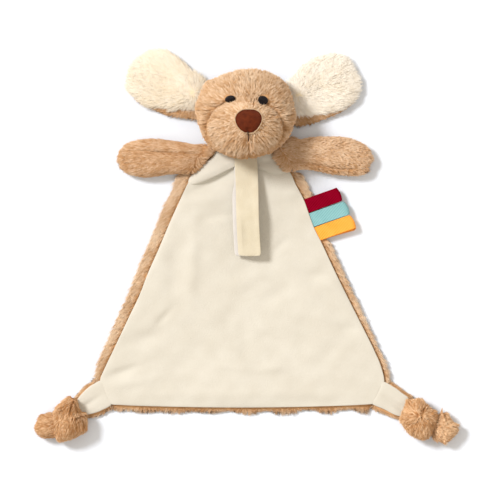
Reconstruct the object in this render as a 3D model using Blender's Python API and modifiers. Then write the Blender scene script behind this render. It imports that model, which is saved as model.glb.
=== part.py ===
"""A comfort blanket with a stuffed dog's head, lying face up on its back.

X runs to the right of someone who looks down on the face, Y from the hem up to the head, and Z up
from the surface it lies on. The origin is the middle of its footprint, on that surface. Metres.
"""

import math

import bmesh
import bpy
import numpy as np
from mathutils import Matrix, Vector

# Clearances and allowances

GAP = 0.0003  # between pieces that touch
WELD = 0.00001  # points nearer than this are one point
OVERRUN = 0.004  # how far a cutter passes what it cuts

# The flat blanket

MIDDLE_X = -0.0038  # the blanket's middle line
NECK_Y = 0.066  # the neck seam, under the chin
NECK_WIDTH = 0.043
YOKE_LENGTH = 0.015  # neck seam to shoulder points
SHOULDER_WIDTH = 0.0664
SKIRT_LENGTH = 0.1466  # shoulder points to the corner seams
CORNER_WIDTH = 0.1996  # where the side seams meet the corner seams
CORNER_SEAM_DROP = 0.0151  # how far a corner seam comes down
CORNER_SEAM_INSET = 0.0076  # and how far it runs in
HEM_SAG = 0.002  # the hem's middle hangs lower than its ends
YOKE_SAG = 0.0016  # so does the middle of the yoke's seam
RIM_AT_SHOULDER = 0.0078  # the plush back shows this far past the front's seam
RIM_AT_CORNER = 0.0035
BACK_THICKNESS = 0.0028
FRONT_THICKNESS = 0.0027
FOLD_DEPTH = 0.001  # the soft hollows in the front

# The head

HEAD_X = -0.0011
HEAD_WIDTH = 0.0713
HEAD_LENGTH = 0.0635
HEAD_HEIGHT = 0.0455
HEAD_PRESSED = 0.0006  # how deep it is pressed flat where it lies
CHIN_OVERHANG = 0.0057  # past the neck seam
PLUSH_THICKNESS = 0.0026
NECK_OPENING_WIDTH = 0.02  # the head is stuffed through it
NECK_OPENING_HEIGHT = 0.006
MUZZLE_WIDTH = 0.051
MUZZLE_LENGTH = 0.043
MUZZLE_DEPTH = 0.042
MUZZLE_FROM_CHIN = 0.0215  # the muzzle's middle, up from the chin
MUZZLE_STANDS = 0.0105  # the muzzle's top above the head's top
NOSE_WIDTH = 0.019
NOSE_LENGTH = 0.0161
NOSE_RISE = 0.0018
NOSE_ABOVE_MUZZLE_MIDDLE = 0.0057
NOSE_ASIDE = 0.0025
MOUTH_LENGTH = 0.0078
MOUTH_WIDTH = 0.0014
MOUTH_RISE = 0.001
MOUTH_BELOW_NOSE = 0.0008
EYE_LENGTH = 0.0071
EYE_WIDTH = 0.0048
RIGHT_EYE_WIDER = 1.2  # the right eye's width against the left one's
EYE_RISE = 0.0011
EYE_SPACING = 0.0232
EYES_ABOVE_MIDDLE = 0.0104

# The ears

EAR_LENGTH = 0.0495
EAR_WIDTH = 0.045
EAR_TUCK = 0.005  # how far an ear's root runs in under the head's side
EAR_ABOVE_MIDDLE = 0.011
EAR_BACK_THICKNESS = 0.0052
EAR_FRONT_THICKNESS = 0.0068

# The arms

ARM_LENGTH = 0.0605
ARM_WIDTH = 0.0285
ARM_THICKNESS = 0.0145
ARM_ABOVE_SHOULDER = 0.011  # the arm's middle line, up from the shoulder points
ARM_PLUSH_THICKNESS = 0.0022

# The soother strap

STRAP_LENGTH = 0.0685
STRAP_WIDTH = 0.0158
STRAP_THICKNESS = 0.0011
STRAP_FROM_NECK = 0.005  # its fold lies this far below the neck seam
STRAP_START_ASIDE = 0.0028  # its fold's middle, to the right of the blanket's middle line
STRAP_SWAY = 0.0028  # its free end lies to the right of its fold
STRAP_HINGE_RISE = 0.001  # the fold's axis, above the strap
LEAF_OFFSET = 0.0024  # the inner leaf shows at the left
PATCH_LENGTH = 0.014
PATCH_WIDTH = 0.0105
PATCH_THICKNESS = 0.0006
PATCH_FROM_END = 0.006

# The ribbon tags

RIBBON_WIDTH = 0.0101
RIBBON_SPACING = 0.0004
RIBBON_LENGTH = 0.0252
RIBBON_THICKNESS = 0.0005
RIBBON_LOOP = 0.0036  # how open the loop stands at its end
RIBBONS_FROM_SHOULDER = 0.0211  # along the side seam

# The knotted corners

STRIP_LENGTH = 0.0245
STRIP_END_WIDTH = 0.0125
KNOT_HEIGHT = 0.0215
KNOT_GROOVE = 0.0022
TAIL_LENGTH = 0.0235
TAIL_WIDTH = 0.0165
TAIL_HEIGHT = 0.015
REST_CUT = 0.0005  # how deep the small stuffed forms are pressed flat
LEFT_KNOT_WIDTH = 0.0235
LEFT_KNOT_LENGTH = 0.031
LEFT_KNOT_PLACE = (0.0234, -0.0174)  # out and up from the middle of the corner seam
LEFT_TAIL_PLACE = (0.0365, -0.0228)
LEFT_KNOT_TURN = 12
LEFT_TAIL_TURN = 70
RIGHT_KNOT_WIDTH = 0.0262
RIGHT_KNOT_LENGTH = 0.0285
RIGHT_KNOT_PLACE = (0.0277, -0.0185)
RIGHT_TAIL_PLACE = (0.0471, -0.0238)
RIGHT_KNOT_TURN = -10
RIGHT_TAIL_TURN = -8

# Colours and roughness

PLUSH_TAN = (0.62, 0.42, 0.25)
PLUSH_CREAM = (0.89, 0.82, 0.69)
VELOUR_CREAM = (0.86, 0.79, 0.64)
LINING_WHITE = (0.84, 0.79, 0.75)
FIBRE_WHITE = (0.9, 0.9, 0.88)
THREAD_BLACK = (0.02, 0.017, 0.02)
THREAD_BROWN = (0.05, 0.03, 0.02)
NOSE_BROWN = (0.13, 0.04, 0.015)
RIBBON_CRIMSON = (0.35, 0.005, 0.03)
RIBBON_AQUA = (0.26, 0.6, 0.6)
RIBBON_ORANGE = (0.95, 0.42, 0.04)
PLUSH_ROUGHNESS = 0.95
VELOUR_ROUGHNESS = 0.85
SATIN_ROUGHNESS = 0.5

LEFT = -1
RIGHT = 1
SIDE_NAMES = {LEFT: "left", RIGHT: "right"}

# Places that several pieces share

SHOULDER_Y = NECK_Y - YOKE_LENGTH
CORNER_Y = SHOULDER_Y - SKIRT_LENGTH
HEM_Y = CORNER_Y - CORNER_SEAM_DROP
HEM_WIDTH = CORNER_WIDTH - 2 * CORNER_SEAM_INSET
FRONT_FLOOR = BACK_THICKNESS + GAP
FRONT_TOP = FRONT_FLOOR + FRONT_THICKNESS
HEAD_Y = NECK_Y - CHIN_OVERHANG + HEAD_LENGTH / 2
HEAD_RADII = Vector((HEAD_WIDTH / 2, HEAD_LENGTH / 2, (HEAD_HEIGHT + HEAD_PRESSED) / 2))
HEAD_MIDDLE = Vector((HEAD_X, HEAD_Y, HEAD_RADII.z - HEAD_PRESSED))
MUZZLE_RADII = Vector((MUZZLE_WIDTH / 2, MUZZLE_LENGTH / 2, MUZZLE_DEPTH / 2))
MUZZLE_MIDDLE = Vector((
    HEAD_X,
    HEAD_Y - HEAD_LENGTH / 2 + MUZZLE_FROM_CHIN,
    HEAD_HEIGHT + MUZZLE_STANDS - MUZZLE_RADII.z,
))


def side_point(side, width, y):
    """A point on the outline, half of a width out from the blanket's middle line."""
    return np.array((MIDDLE_X + side * width / 2, y))


def between(a, b, share):
    """The point a share of the way from a to b."""
    return np.asarray(a) * (1 - share) + np.asarray(b) * share


def unit(vector):
    """The vector at a length of one."""
    return np.asarray(vector) / np.linalg.norm(vector)


def away_from(side, high, low):
    """The level direction square to a seam, away from the blanket."""
    along = unit(high - low)
    return np.array((along[1], -along[0])) * side


NECK_POINTS = {side: side_point(side, NECK_WIDTH, NECK_Y) for side in SIDE_NAMES}
SHOULDER_POINTS = {side: side_point(side, SHOULDER_WIDTH, SHOULDER_Y) for side in SIDE_NAMES}
CORNER_POINTS = {side: side_point(side, CORNER_WIDTH, CORNER_Y) for side in SIDE_NAMES}
HEM_POINTS = {side: side_point(side, HEM_WIDTH, HEM_Y) for side in SIDE_NAMES}

# Where each moving piece turns, and what it hangs on

ARM_HINGES = {side: between(NECK_POINTS[side], SHOULDER_POINTS[side], 1 / 2) for side in SIDE_NAMES}
CORNER_HINGES = {side: between(CORNER_POINTS[side], HEM_POINTS[side], 1 / 2) for side in SIDE_NAMES}
EAR_HINGE_X = {side: HEAD_X + side * HEAD_WIDTH / 2 for side in SIDE_NAMES}
EAR_Y = HEAD_Y + EAR_ABOVE_MIDDLE
STRAP_Y = NECK_Y - STRAP_FROM_NECK
STRAP_TOP = FRONT_TOP + 2 * GAP + 2 * STRAP_THICKNESS
RIBBON_NAMES = ("crimson", "aqua", "orange")


def side_seam(side, distance):
    """The point of the front's side seam at a distance down from the shoulder point."""
    top, bottom = SHOULDER_POINTS[side], CORNER_POINTS[side]
    return top + unit(bottom - top) * distance


def ribbon_root(order):
    """The middle of a ribbon's root, on the right side seam."""
    pitch = RIBBON_WIDTH + RIBBON_SPACING
    return side_seam(RIGHT, RIBBONS_FROM_SHOULDER + RIBBON_WIDTH / 2 + order * pitch)


PIVOTS = {
    "blanket": Vector((0, 0, 0)),
    "head": Vector((HEAD_X, NECK_Y, FRONT_TOP)),
    "strap_inner": Vector((MIDDLE_X, STRAP_Y, STRAP_TOP + STRAP_HINGE_RISE)),
    "strap_outer": Vector((MIDDLE_X, STRAP_Y, STRAP_TOP + STRAP_HINGE_RISE)),
}
HANGS_ON = {"head": "blanket", "strap_inner": "blanket", "strap_outer": "strap_inner"}
for side, word in SIDE_NAMES.items():
    PIVOTS["ear_" + word] = Vector((EAR_HINGE_X[side], EAR_Y, EAR_BACK_THICKNESS))
    HANGS_ON["ear_" + word] = "head"
    PIVOTS["arm_" + word] = Vector((*ARM_HINGES[side], FRONT_TOP))
    HANGS_ON["arm_" + word] = "blanket"
    PIVOTS["corner_" + word] = Vector((*CORNER_HINGES[side], FRONT_TOP))
    HANGS_ON["corner_" + word] = "blanket"
for order, word in enumerate(RIBBON_NAMES):
    PIVOTS["ribbon_" + word] = Vector((*ribbon_root(order), FRONT_TOP))
    HANGS_ON["ribbon_" + word] = "blanket"


# The scene's collections, and placing a finished shape in them

for leftover in list(bpy.data.objects):
    bpy.data.objects.remove(leftover)

LOVEY = bpy.data.collections.new("comfort_blanket_lovey")
CUTTERS = bpy.data.collections.new("cutters")
for collection in (LOVEY, CUTTERS):
    bpy.context.scene.collection.children.link(collection)

HINGES = {}
for body, pivot in PIVOTS.items():
    hinge = bpy.data.objects.new(body + "_hinge", None)
    LOVEY.objects.link(hinge)
    if body in HANGS_ON:
        hinge.parent = HINGES[HANGS_ON[body]]
        hinge.location = pivot - PIVOTS[HANGS_ON[body]]
    HINGES[body] = hinge


def make_object(name, shape, collection):
    """The shape's mesh in a new object of a collection, with smooth shading."""
    bmesh.ops.recalc_face_normals(shape, faces=shape.faces)
    mesh = bpy.data.meshes.new(name)
    shape.to_mesh(mesh)
    shape.free()
    mesh.shade_smooth()
    mesh.set_sharp_from_angle(angle=math.pi / 4)
    made = bpy.data.objects.new(name, mesh)
    collection.objects.link(made)
    return made


def add_piece(name, shape, body, colour, roughness):
    """A sub-part in its own object, which turns with its body's hinge, in its own material."""
    bmesh.ops.translate(shape, verts=shape.verts, vec=-PIVOTS[body])
    piece = make_object(name, shape, LOVEY)
    piece.parent = HINGES[body]
    look = bpy.data.materials.new(name)
    look.use_nodes = True
    principled = look.node_tree.nodes["Principled BSDF"]
    principled.inputs["Base Color"].default_value = (*colour, 1)
    principled.inputs["Roughness"].default_value = roughness
    principled.inputs["Metallic"].default_value = 0
    piece.data.materials.append(look)
    return piece


def add_cutter(name, shape):
    """A shape that only cuts others."""
    cutter = make_object(name, shape, CUTTERS)
    cutter.hide_render = True
    cutter.display_type = "WIRE"
    return cutter


def trim(piece, cutter, operation="DIFFERENCE"):
    """Cuts a piece by a cutter, or keeps only what the two share."""
    cut = piece.modifiers.new(operation.title() + " " + cutter.name, "BOOLEAN")
    cut.operation = operation
    cut.solver = "EXACT"
    cut.object = cutter


# Shapes that several pieces use

def smooth_rows(rows, steps):
    """A curve that passes through each row of numbers, with some steps between each two rows."""
    rows = np.asarray(rows, float)
    padded = np.vstack([2 * rows[0] - rows[1], rows, 2 * rows[-1] - rows[-2]])
    out = [rows[0]]
    for before, start, end, after in zip(padded, padded[1:], padded[2:], padded[3:]):
        for step in range(1, steps + 1):
            t = step / steps
            pull_in = (end - before) / 2
            pull_out = (after - start) / 2
            out.append(
                start * (2 * t**3 - 3 * t**2 + 1)
                + pull_in * (t**3 - 2 * t**2 + t)
                + end * (3 * t**2 - 2 * t**3)
                + pull_out * (t**3 - t**2)
            )
    return np.array(out)


def pillow(rows, across, fullness, crease=None):
    """A padded form between two edges, made of one section for each row.

    A row is the left edge's x and y, the right edge's x and y, the height of both edges, the rise
    of the crown over them, the drop of the belly under them, and how far the middle of the section
    bows along Y. The rise and drop follow a superellipse, and fullness is its power. crease(x, y)
    is how far the crown comes down there.
    """
    shape = bmesh.new()
    spread = (1 - np.cos(np.linspace(0, math.pi, across + 1))) / 2
    dome = (1 - np.abs(2 * spread - 1) ** fullness).clip(0) ** (1 / fullness)
    tops, bottoms = [], []
    for left_x, left_y, right_x, right_y, edge, rise, drop, bow in rows:
        x = left_x + (right_x - left_x) * spread
        y = left_y + (right_y - left_y) * spread + bow * 4 * spread * (1 - spread)
        high = edge + rise * dome
        low = edge - drop * dome
        if crease:
            high = high - crease(x, y) * dome
        top = [shape.verts.new(point) for point in zip(x, y, high)]
        inner = [shape.verts.new(point) for point in list(zip(x, y, low))[1:-1]]
        tops.append(top)
        bottoms.append([top[0], *inner, top[-1]])
    for rail in (tops, bottoms):
        for one, two in zip(rail, rail[1:]):
            for k in range(across):
                shape.faces.new((one[k], one[k + 1], two[k + 1], two[k]))
    for top, bottom in ((tops[0], bottoms[0]), (tops[-1], bottoms[-1])):
        for k in range(across):
            corners = dict.fromkeys((top[k], top[k + 1], bottom[k + 1], bottom[k]))
            shape.faces.new(tuple(corners))
    return shape


def ball(middle, radii, segments, rings, outline=2.0, crown=2.0, underside=2.0):
    """A ball stretched to three radii.

    Its level sections are superellipses of the power outline, and its upright ones have the power
    crown above the middle and underside below it. A power over two makes fuller shoulders.
    """
    shape = bmesh.new()
    bmesh.ops.create_uvsphere(shape, u_segments=segments, v_segments=rings, radius=1)
    for vert in shape.verts:
        x, y, z = (abs(part) for part in vert.co)
        level = (x**outline + y**outline) ** (1 / outline)
        upright = crown if vert.co.z >= 0 else underside
        reach = (level**upright + z**upright) ** (1 / upright)
        vert.co = Vector(part * r for part, r in zip(vert.co / reach, radii)) + middle
    return shape


def press_flat(shape, height=0):
    """Cuts a shape flat where it lies, at a height."""
    everything = shape.verts[:] + shape.edges[:] + shape.faces[:]
    cut = bmesh.ops.bisect_plane(
        shape, geom=everything, dist=WELD, plane_co=(0, 0, height), plane_no=(0, 0, -1), clear_outer=True
    )
    rim = [part for part in cut["geom_cut"] if isinstance(part, bmesh.types.BMEdge)]
    bmesh.ops.contextual_create(shape, geom=rim)
    return shape


def slab(outline, low, high):
    """A flat outline between two heights: a filled 2D curve, made a mesh so that it can be cut."""
    curve = bpy.data.curves.new("slab", "CURVE")
    curve.dimensions = "2D"
    curve.fill_mode = "BOTH"
    curve.extrude = (high - low) / 2
    spline = curve.splines.new("POLY")
    spline.points.add(len(outline) - 1)
    for point, (x, y) in zip(spline.points, outline):
        point.co = (x, y, 0, 1)
    spline.use_cyclic_u = True
    holder = bpy.data.objects.new("slab", curve)
    holder.location.z = (low + high) / 2
    CUTTERS.objects.link(holder)
    bpy.context.view_layer.update()
    seen = holder.evaluated_get(bpy.context.evaluated_depsgraph_get())
    mesh = bpy.data.meshes.new_from_object(seen)
    shape = bmesh.new()
    shape.from_mesh(mesh)
    bmesh.ops.transform(shape, matrix=holder.matrix_world, verts=shape.verts)
    bmesh.ops.remove_doubles(shape, verts=shape.verts, dist=WELD)
    bpy.data.objects.remove(holder)
    bpy.data.meshes.remove(mesh)
    return shape


def box(low, high):
    """A box between two corners."""
    low, high = Vector(low), Vector(high)
    shape = bmesh.new()
    bmesh.ops.create_cube(shape, size=1)
    bmesh.ops.scale(shape, vec=high - low, verts=shape.verts)
    bmesh.ops.translate(shape, vec=(low + high) / 2, verts=shape.verts)
    return shape


# Clearance shapes: the larger forms grown by the gap, which cut what meets them

HEAD_OUTLINE = 2.25  # the powers of the head's sections
HEAD_CROWN = 2.2
HEAD_UNDERSIDE = 2.8
MUZZLE_OUTLINE = 2.1
MUZZLE_CROWN = 2.15


def head_form(grow=0.0, segments=32, rings=20):
    """The head's outside, grown by a distance."""
    grown = HEAD_RADII + Vector((grow, grow, grow))
    return ball(HEAD_MIDDLE, grown, segments, rings, HEAD_OUTLINE, HEAD_CROWN, HEAD_UNDERSIDE)


def muzzle_form(grow=0.0):
    """The muzzle's outside, grown by a distance."""
    grown = MUZZLE_RADII + Vector((grow, grow, grow))
    return ball(MUZZLE_MIDDLE, grown, 28, 16, MUZZLE_OUTLINE, MUZZLE_CROWN)


HEAD_CLEARANCE = add_cutter("head_clearance", head_form(GAP))
MUZZLE_CLEARANCE = add_cutter("muzzle_clearance", muzzle_form(GAP))


# The blanket: a plush back, a velour front and a velour yoke above it

PANEL_FULLNESS = 7
PANEL_COLUMNS = 12
SKIRT_STEPS = 14
HEM_STEPS = 3
YOKE_STEPS = 5
SHOULDER_FOLD = 5.0  # how narrow the slanting fold is, and how soon it fades down the front
SHOULDER_FOLD_FADE = 4.0
SHOULDER_FOLD_PLACE = 0.4
FIRST_WAVE = (9.0, 7.0)  # how fast each broad wave turns across and down the front
SECOND_WAVE = (5.0, -11.0)
WAVE_SHARE = 0.2  # of the fold depth, for half the height of each wave


def fold_dip(x, y):
    """The soft hollows of the front: a slanting fold under each shoulder and two broad waves."""
    across = (x - MIDDLE_X) / CORNER_WIDTH
    down = (SHOULDER_Y - y) / SKIRT_LENGTH
    slant = np.exp(-((across * 2 + down) * SHOULDER_FOLD + SHOULDER_FOLD_PLACE) ** 2)
    slant = slant * np.exp(-((down * SHOULDER_FOLD_FADE) ** 2))
    waves = 0
    for turns_across, turns_down in (FIRST_WAVE, SECOND_WAVE):
        waves = waves + WAVE_SHARE * (1 - np.cos(across * turns_across + down * turns_down))
    return FOLD_DEPTH * np.minimum(1, slant + waves)


def panel_row(y, width, floor, rise, bow):
    """A level section of the blanket, centred on its middle line."""
    left, right = side_point(LEFT, width, y), side_point(RIGHT, width, y)
    return (*left, *right, floor, rise, 0, bow)


def make_front():
    """The cream velour front, from the yoke's seam to the hem."""
    rise = FRONT_THICKNESS
    top = panel_row(SHOULDER_Y - GAP, SHOULDER_WIDTH, FRONT_FLOOR, rise, -YOKE_SAG)
    corner = panel_row(CORNER_Y, CORNER_WIDTH, FRONT_FLOOR, rise, 0)
    hem = panel_row(HEM_Y, HEM_WIDTH, FRONT_FLOOR, rise, -HEM_SAG)
    rows = [between(top, corner, step / SKIRT_STEPS) for step in range(SKIRT_STEPS)]
    rows += [between(corner, hem, step / HEM_STEPS) for step in range(HEM_STEPS + 1)]
    shape = pillow(rows, PANEL_COLUMNS, PANEL_FULLNESS, fold_dip)
    add_piece("front_panel", shape, "blanket", VELOUR_CREAM, VELOUR_ROUGHNESS)


def make_yoke():
    """The velour yoke, between the arms and under the chin."""
    rise = FRONT_THICKNESS
    top = panel_row(NECK_Y, NECK_WIDTH, FRONT_FLOOR, rise, 0)
    bottom = panel_row(SHOULDER_Y, SHOULDER_WIDTH, FRONT_FLOOR, rise, -YOKE_SAG)
    rows = [between(top, bottom, step / YOKE_STEPS) for step in range(YOKE_STEPS + 1)]
    shape = pillow(rows, PANEL_COLUMNS, PANEL_FULLNESS)
    yoke = add_piece("neck_yoke", shape, "blanket", VELOUR_CREAM, VELOUR_ROUGHNESS)
    trim(yoke, HEAD_CLEARANCE)


def back_row(y, width, bow=0.0):
    """A level section of the plush back."""
    return panel_row(y, width, 0, BACK_THICKNESS, bow)


RIM_CORNER_SHARE = 0.33  # of the rim's width at the shoulder, for how far down it starts


def make_back():
    """The tan plush back, which stands past the front's seams as a soft rim."""
    slope = (CORNER_WIDTH - SHOULDER_WIDTH) / SKIRT_LENGTH
    rim_start = SHOULDER_Y - RIM_AT_SHOULDER * RIM_CORNER_SHARE
    rim_width = SHOULDER_WIDTH + 2 * RIM_AT_SHOULDER + slope * (SHOULDER_Y - rim_start)
    corner_top = CORNER_Y + RIM_AT_CORNER
    corner_width = CORNER_WIDTH + 2 * RIM_AT_CORNER - slope * RIM_AT_CORNER
    hem_low = HEM_Y - RIM_AT_CORNER
    hem_width = HEM_WIDTH - 2 * RIM_AT_CORNER * CORNER_SEAM_INSET / CORNER_SEAM_DROP
    neck = back_row(NECK_Y, NECK_WIDTH)
    shoulder = back_row(SHOULDER_Y, SHOULDER_WIDTH)
    rim = back_row(rim_start, rim_width)
    corner = back_row(corner_top, corner_width)
    hem = back_row(hem_low, hem_width, -HEM_SAG)
    rows = [between(neck, shoulder, step / HEM_STEPS) for step in range(HEM_STEPS + 1)]
    rows += [between(rim, corner, step / SKIRT_STEPS) for step in range(SKIRT_STEPS)]
    rows += [between(corner, hem, step / HEM_STEPS) for step in range(HEM_STEPS + 1)]
    shape = pillow(rows, PANEL_COLUMNS, PANEL_FULLNESS)
    back = add_piece("back_panel", shape, "blanket", PLUSH_TAN, PLUSH_ROUGHNESS)
    trim(back, HEAD_CLEARANCE)


# The head: a stuffed plush shell, with its muzzle, nose, eyes and mouth

def make_head():
    """The head's plush shell, open at the neck where it was stuffed, and the stuffing in it."""
    shell = add_piece("head_cover", press_flat(head_form()), "head", PLUSH_TAN, PLUSH_ROUGHNESS)
    hollow = press_flat(head_form(-PLUSH_THICKNESS, 24, 14), PLUSH_THICKNESS)
    trim(shell, add_cutter("head_hollow", hollow))
    half = NECK_OPENING_WIDTH / 2
    mouth_low = (HEAD_X - half, NECK_Y - OVERRUN, PLUSH_THICKNESS + GAP)
    mouth_high = (HEAD_X + half, NECK_Y + OVERRUN * 2, PLUSH_THICKNESS + GAP + NECK_OPENING_HEIGHT)
    trim(shell, add_cutter("neck_opening", box(mouth_low, mouth_high)))
    inside = PLUSH_THICKNESS + GAP
    stuffing = press_flat(head_form(-inside, 24, 14), inside)
    add_piece("head_filling", stuffing, "head", FIBRE_WHITE, PLUSH_ROUGHNESS)


def make_muzzle():
    """The muzzle: a stuffed plush gusset that stands out of the face."""
    muzzle = add_piece("muzzle", muzzle_form(), "head", PLUSH_TAN, PLUSH_ROUGHNESS)
    trim(muzzle, HEAD_CLEARANCE)


# The nose's outline, as shares of its width and length from its middle

NOSE_SHARES = (
    (0.5, 0.2), (0.44, 0.38), (0.28, 0.48), (0, 0.5), (-0.28, 0.48), (-0.44, 0.38), (-0.5, 0.2),
    (-0.42, -0.08), (-0.28, -0.3), (-0.12, -0.46), (0, -0.5), (0.12, -0.46), (0.28, -0.3), (0.42, -0.08),
)


def make_nose():
    """The satin nose, a rounded triangle that follows the muzzle, and the mouth's stitch."""
    middle = MUZZLE_MIDDLE + Vector((NOSE_ASIDE, NOSE_ABOVE_MUZZLE_MIDDLE, 0))
    outline = [(middle.x + x * NOSE_WIDTH, middle.y + y * NOSE_LENGTH) for x, y in NOSE_SHARES]
    top = MUZZLE_MIDDLE.z + MUZZLE_RADII.z + OVERRUN
    nose = add_piece("nose", slab(outline, MUZZLE_MIDDLE.z, top), "head", NOSE_BROWN, SATIN_ROUGHNESS)
    trim(nose, add_cutter("nose_skin", muzzle_form(NOSE_RISE)), "INTERSECT")
    trim(nose, MUZZLE_CLEARANCE)
    start = middle.y - NOSE_LENGTH / 2 - MOUTH_BELOW_NOSE
    half = MOUTH_WIDTH / 2
    outline = [
        (middle.x - half, start), (middle.x - half, start - MOUTH_LENGTH + half),
        (middle.x, start - MOUTH_LENGTH),
        (middle.x + half, start - MOUTH_LENGTH + half), (middle.x + half, start),
    ]
    stitch = slab(outline, MUZZLE_MIDDLE.z, top)
    mouth = add_piece("mouth_stitch", stitch, "head", THREAD_BROWN, SATIN_ROUGHNESS)
    trim(mouth, add_cutter("mouth_skin", muzzle_form(MOUTH_RISE)), "INTERSECT")
    trim(mouth, MUZZLE_CLEARANCE)


EYE_TURNS = {LEFT: math.radians(14), RIGHT: math.radians(-12)}
EYE_LENGTHS = {LEFT: EYE_LENGTH, RIGHT: EYE_LENGTH}
EYE_WIDTHS = {LEFT: EYE_WIDTH, RIGHT: EYE_WIDTH * RIGHT_EYE_WIDER}
EYE_POINTS = 16


def make_eyes():
    """The embroidered eyes, two slanting ovals on the head just above the muzzle."""
    skin = add_cutter("eye_skin", head_form(EYE_RISE))
    top = HEAD_HEIGHT + OVERRUN
    for side, word in SIDE_NAMES.items():
        middle_x = HEAD_X + side * EYE_SPACING / 2
        middle_y = HEAD_Y + EYES_ABOVE_MIDDLE
        outline = []
        for step in range(EYE_POINTS):
            angle = 2 * math.pi * step / EYE_POINTS
            along = EYE_LENGTHS[side] / 2 * math.cos(angle)
            out = EYE_WIDTHS[side] / 2 * math.sin(angle)
            turn = EYE_TURNS[side]
            x = middle_x + along * math.cos(turn) - out * math.sin(turn)
            y = middle_y + along * math.sin(turn) + out * math.cos(turn)
            outline.append((x, y))
        patch = slab(outline, HEAD_MIDDLE.z, top)
        eye = add_piece("eye_" + word, patch, "head", THREAD_BLACK, SATIN_ROUGHNESS)
        trim(eye, skin, "INTERSECT")
        trim(eye, HEAD_CLEARANCE)
        trim(eye, MUZZLE_CLEARANCE)


# The ears: a long-haired cream front on a tan plush back. Each row of shares is how far out it lies
# along the ear, the upper edge over the ear's middle line, the lower edge, the back's lower edge,
# and how full the ear is there.

EAR_SHARES = {
    LEFT: (
        (0, 0.34, -0.25, -0.3, 0.42),
        (0.16, 0.52, -0.22, -0.3, 0.72),
        (0.36, 0.72, -0.21, -0.26, 0.95),
        (0.57, 0.79, -0.2, -0.21, 1),
        (0.77, 0.71, -0.12, -0.125, 0.95),
        (0.91, 0.56, 0, -0.005, 0.75),
        (0.975, 0.42, 0.1, 0.098, 0.5),
        (1, 0.31, 0.2, 0.198, 0.25),
    ),
    RIGHT: (
        (0, 0.36, -0.3, -0.38, 0.42),
        (0.16, 0.55, -0.32, -0.4, 0.72),
        (0.36, 0.68, -0.31, -0.36, 0.95),
        (0.57, 0.73, -0.28, -0.3, 1),
        (0.76, 0.68, -0.2, -0.205, 0.95),
        (0.9, 0.51, -0.09, -0.095, 0.75),
        (0.965, 0.34, 0, -0.002, 0.5),
        (0.99, 0.22, 0.09, 0.088, 0.25),
    ),
}
EAR_FULLNESS = 2.6
EAR_COLUMNS = 12
SIDE_STEPS = 2  # sections for each row of shares


def ear_rows(side, lower, floor, thickness, rises):
    """The sections of one layer of an ear. Its root starts a little inside the head's side."""
    root = EAR_HINGE_X[side] - side * EAR_TUCK
    length = EAR_LENGTH + EAR_TUCK
    rows = []
    for shares in smooth_rows(EAR_SHARES[side], SIDE_STEPS):
        x = root + side * shares[0] * length
        high, low = EAR_Y + shares[1] * EAR_WIDTH, EAR_Y + shares[lower] * EAR_WIDTH
        full = thickness * shares[4]
        edge, rise, drop = (floor, full, 0) if rises else (floor + thickness, 0, full)
        rows.append((x, high, x, low, edge, rise, drop, 0))
    return rows


def make_ears():
    """Both ears, front and back, trimmed by the head that they are sewn to."""
    for side, word in SIDE_NAMES.items():
        body = "ear_" + word
        rows = ear_rows(side, 3, 0, EAR_BACK_THICKNESS - GAP, False)
        shape = pillow(rows, EAR_COLUMNS, EAR_FULLNESS)
        trim(add_piece(body + "_back", shape, body, PLUSH_TAN, PLUSH_ROUGHNESS), HEAD_CLEARANCE)
        rows = ear_rows(side, 2, EAR_BACK_THICKNESS, EAR_FRONT_THICKNESS, True)
        shape = pillow(rows, EAR_COLUMNS, EAR_FULLNESS)
        trim(add_piece(body + "_front", shape, body, PLUSH_CREAM, PLUSH_ROUGHNESS), HEAD_CLEARANCE)


# The arms: plush covers, lightly stuffed. Each row of shares is how far out the upper edge lies and
# its height over the arm's middle line, the same for the lower edge, and how full the arm is there.

ARM_SHARES = {
    LEFT: (
        (0.12, 0.37, 0.24, -0.42, 0.62),
        (0.28, 0.44, 0.36, -0.43, 0.85),
        (0.44, 0.48, 0.49, -0.46, 0.97),
        (0.6, 0.5, 0.61, -0.5, 1),
        (0.76, 0.47, 0.74, -0.49, 1),
        (0.88, 0.39, 0.85, -0.44, 0.9),
        (0.965, 0.24, 0.945, -0.31, 0.66),
        (1, 0.06, 0.996, -0.1, 0.36),
    ),
    RIGHT: (
        (0.2, 0.45, 0.25, -0.36, 0.62),
        (0.36, 0.49, 0.38, -0.38, 0.85),
        (0.55, 0.51, 0.54, -0.42, 0.97),
        (0.72, 0.5, 0.73, -0.47, 1),
        (0.86, 0.45, 0.89, -0.49, 1),
        (0.98, 0.33, 0.985, -0.43, 0.9),
        (1.055, 0.15, 1.052, -0.29, 0.66),
        (1.085, -0.02, 1.08, -0.12, 0.36),
    ),
}
ARM_ROOT_FULLNESS_SHARE = 0.44
ARM_FULLNESS = 2.5
ARM_COLUMNS = 12
ARM_HOLLOW_COLUMNS = 10
ARM_BELLY_SHARE = 0.45  # of the arm's thickness, below its edges


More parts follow.
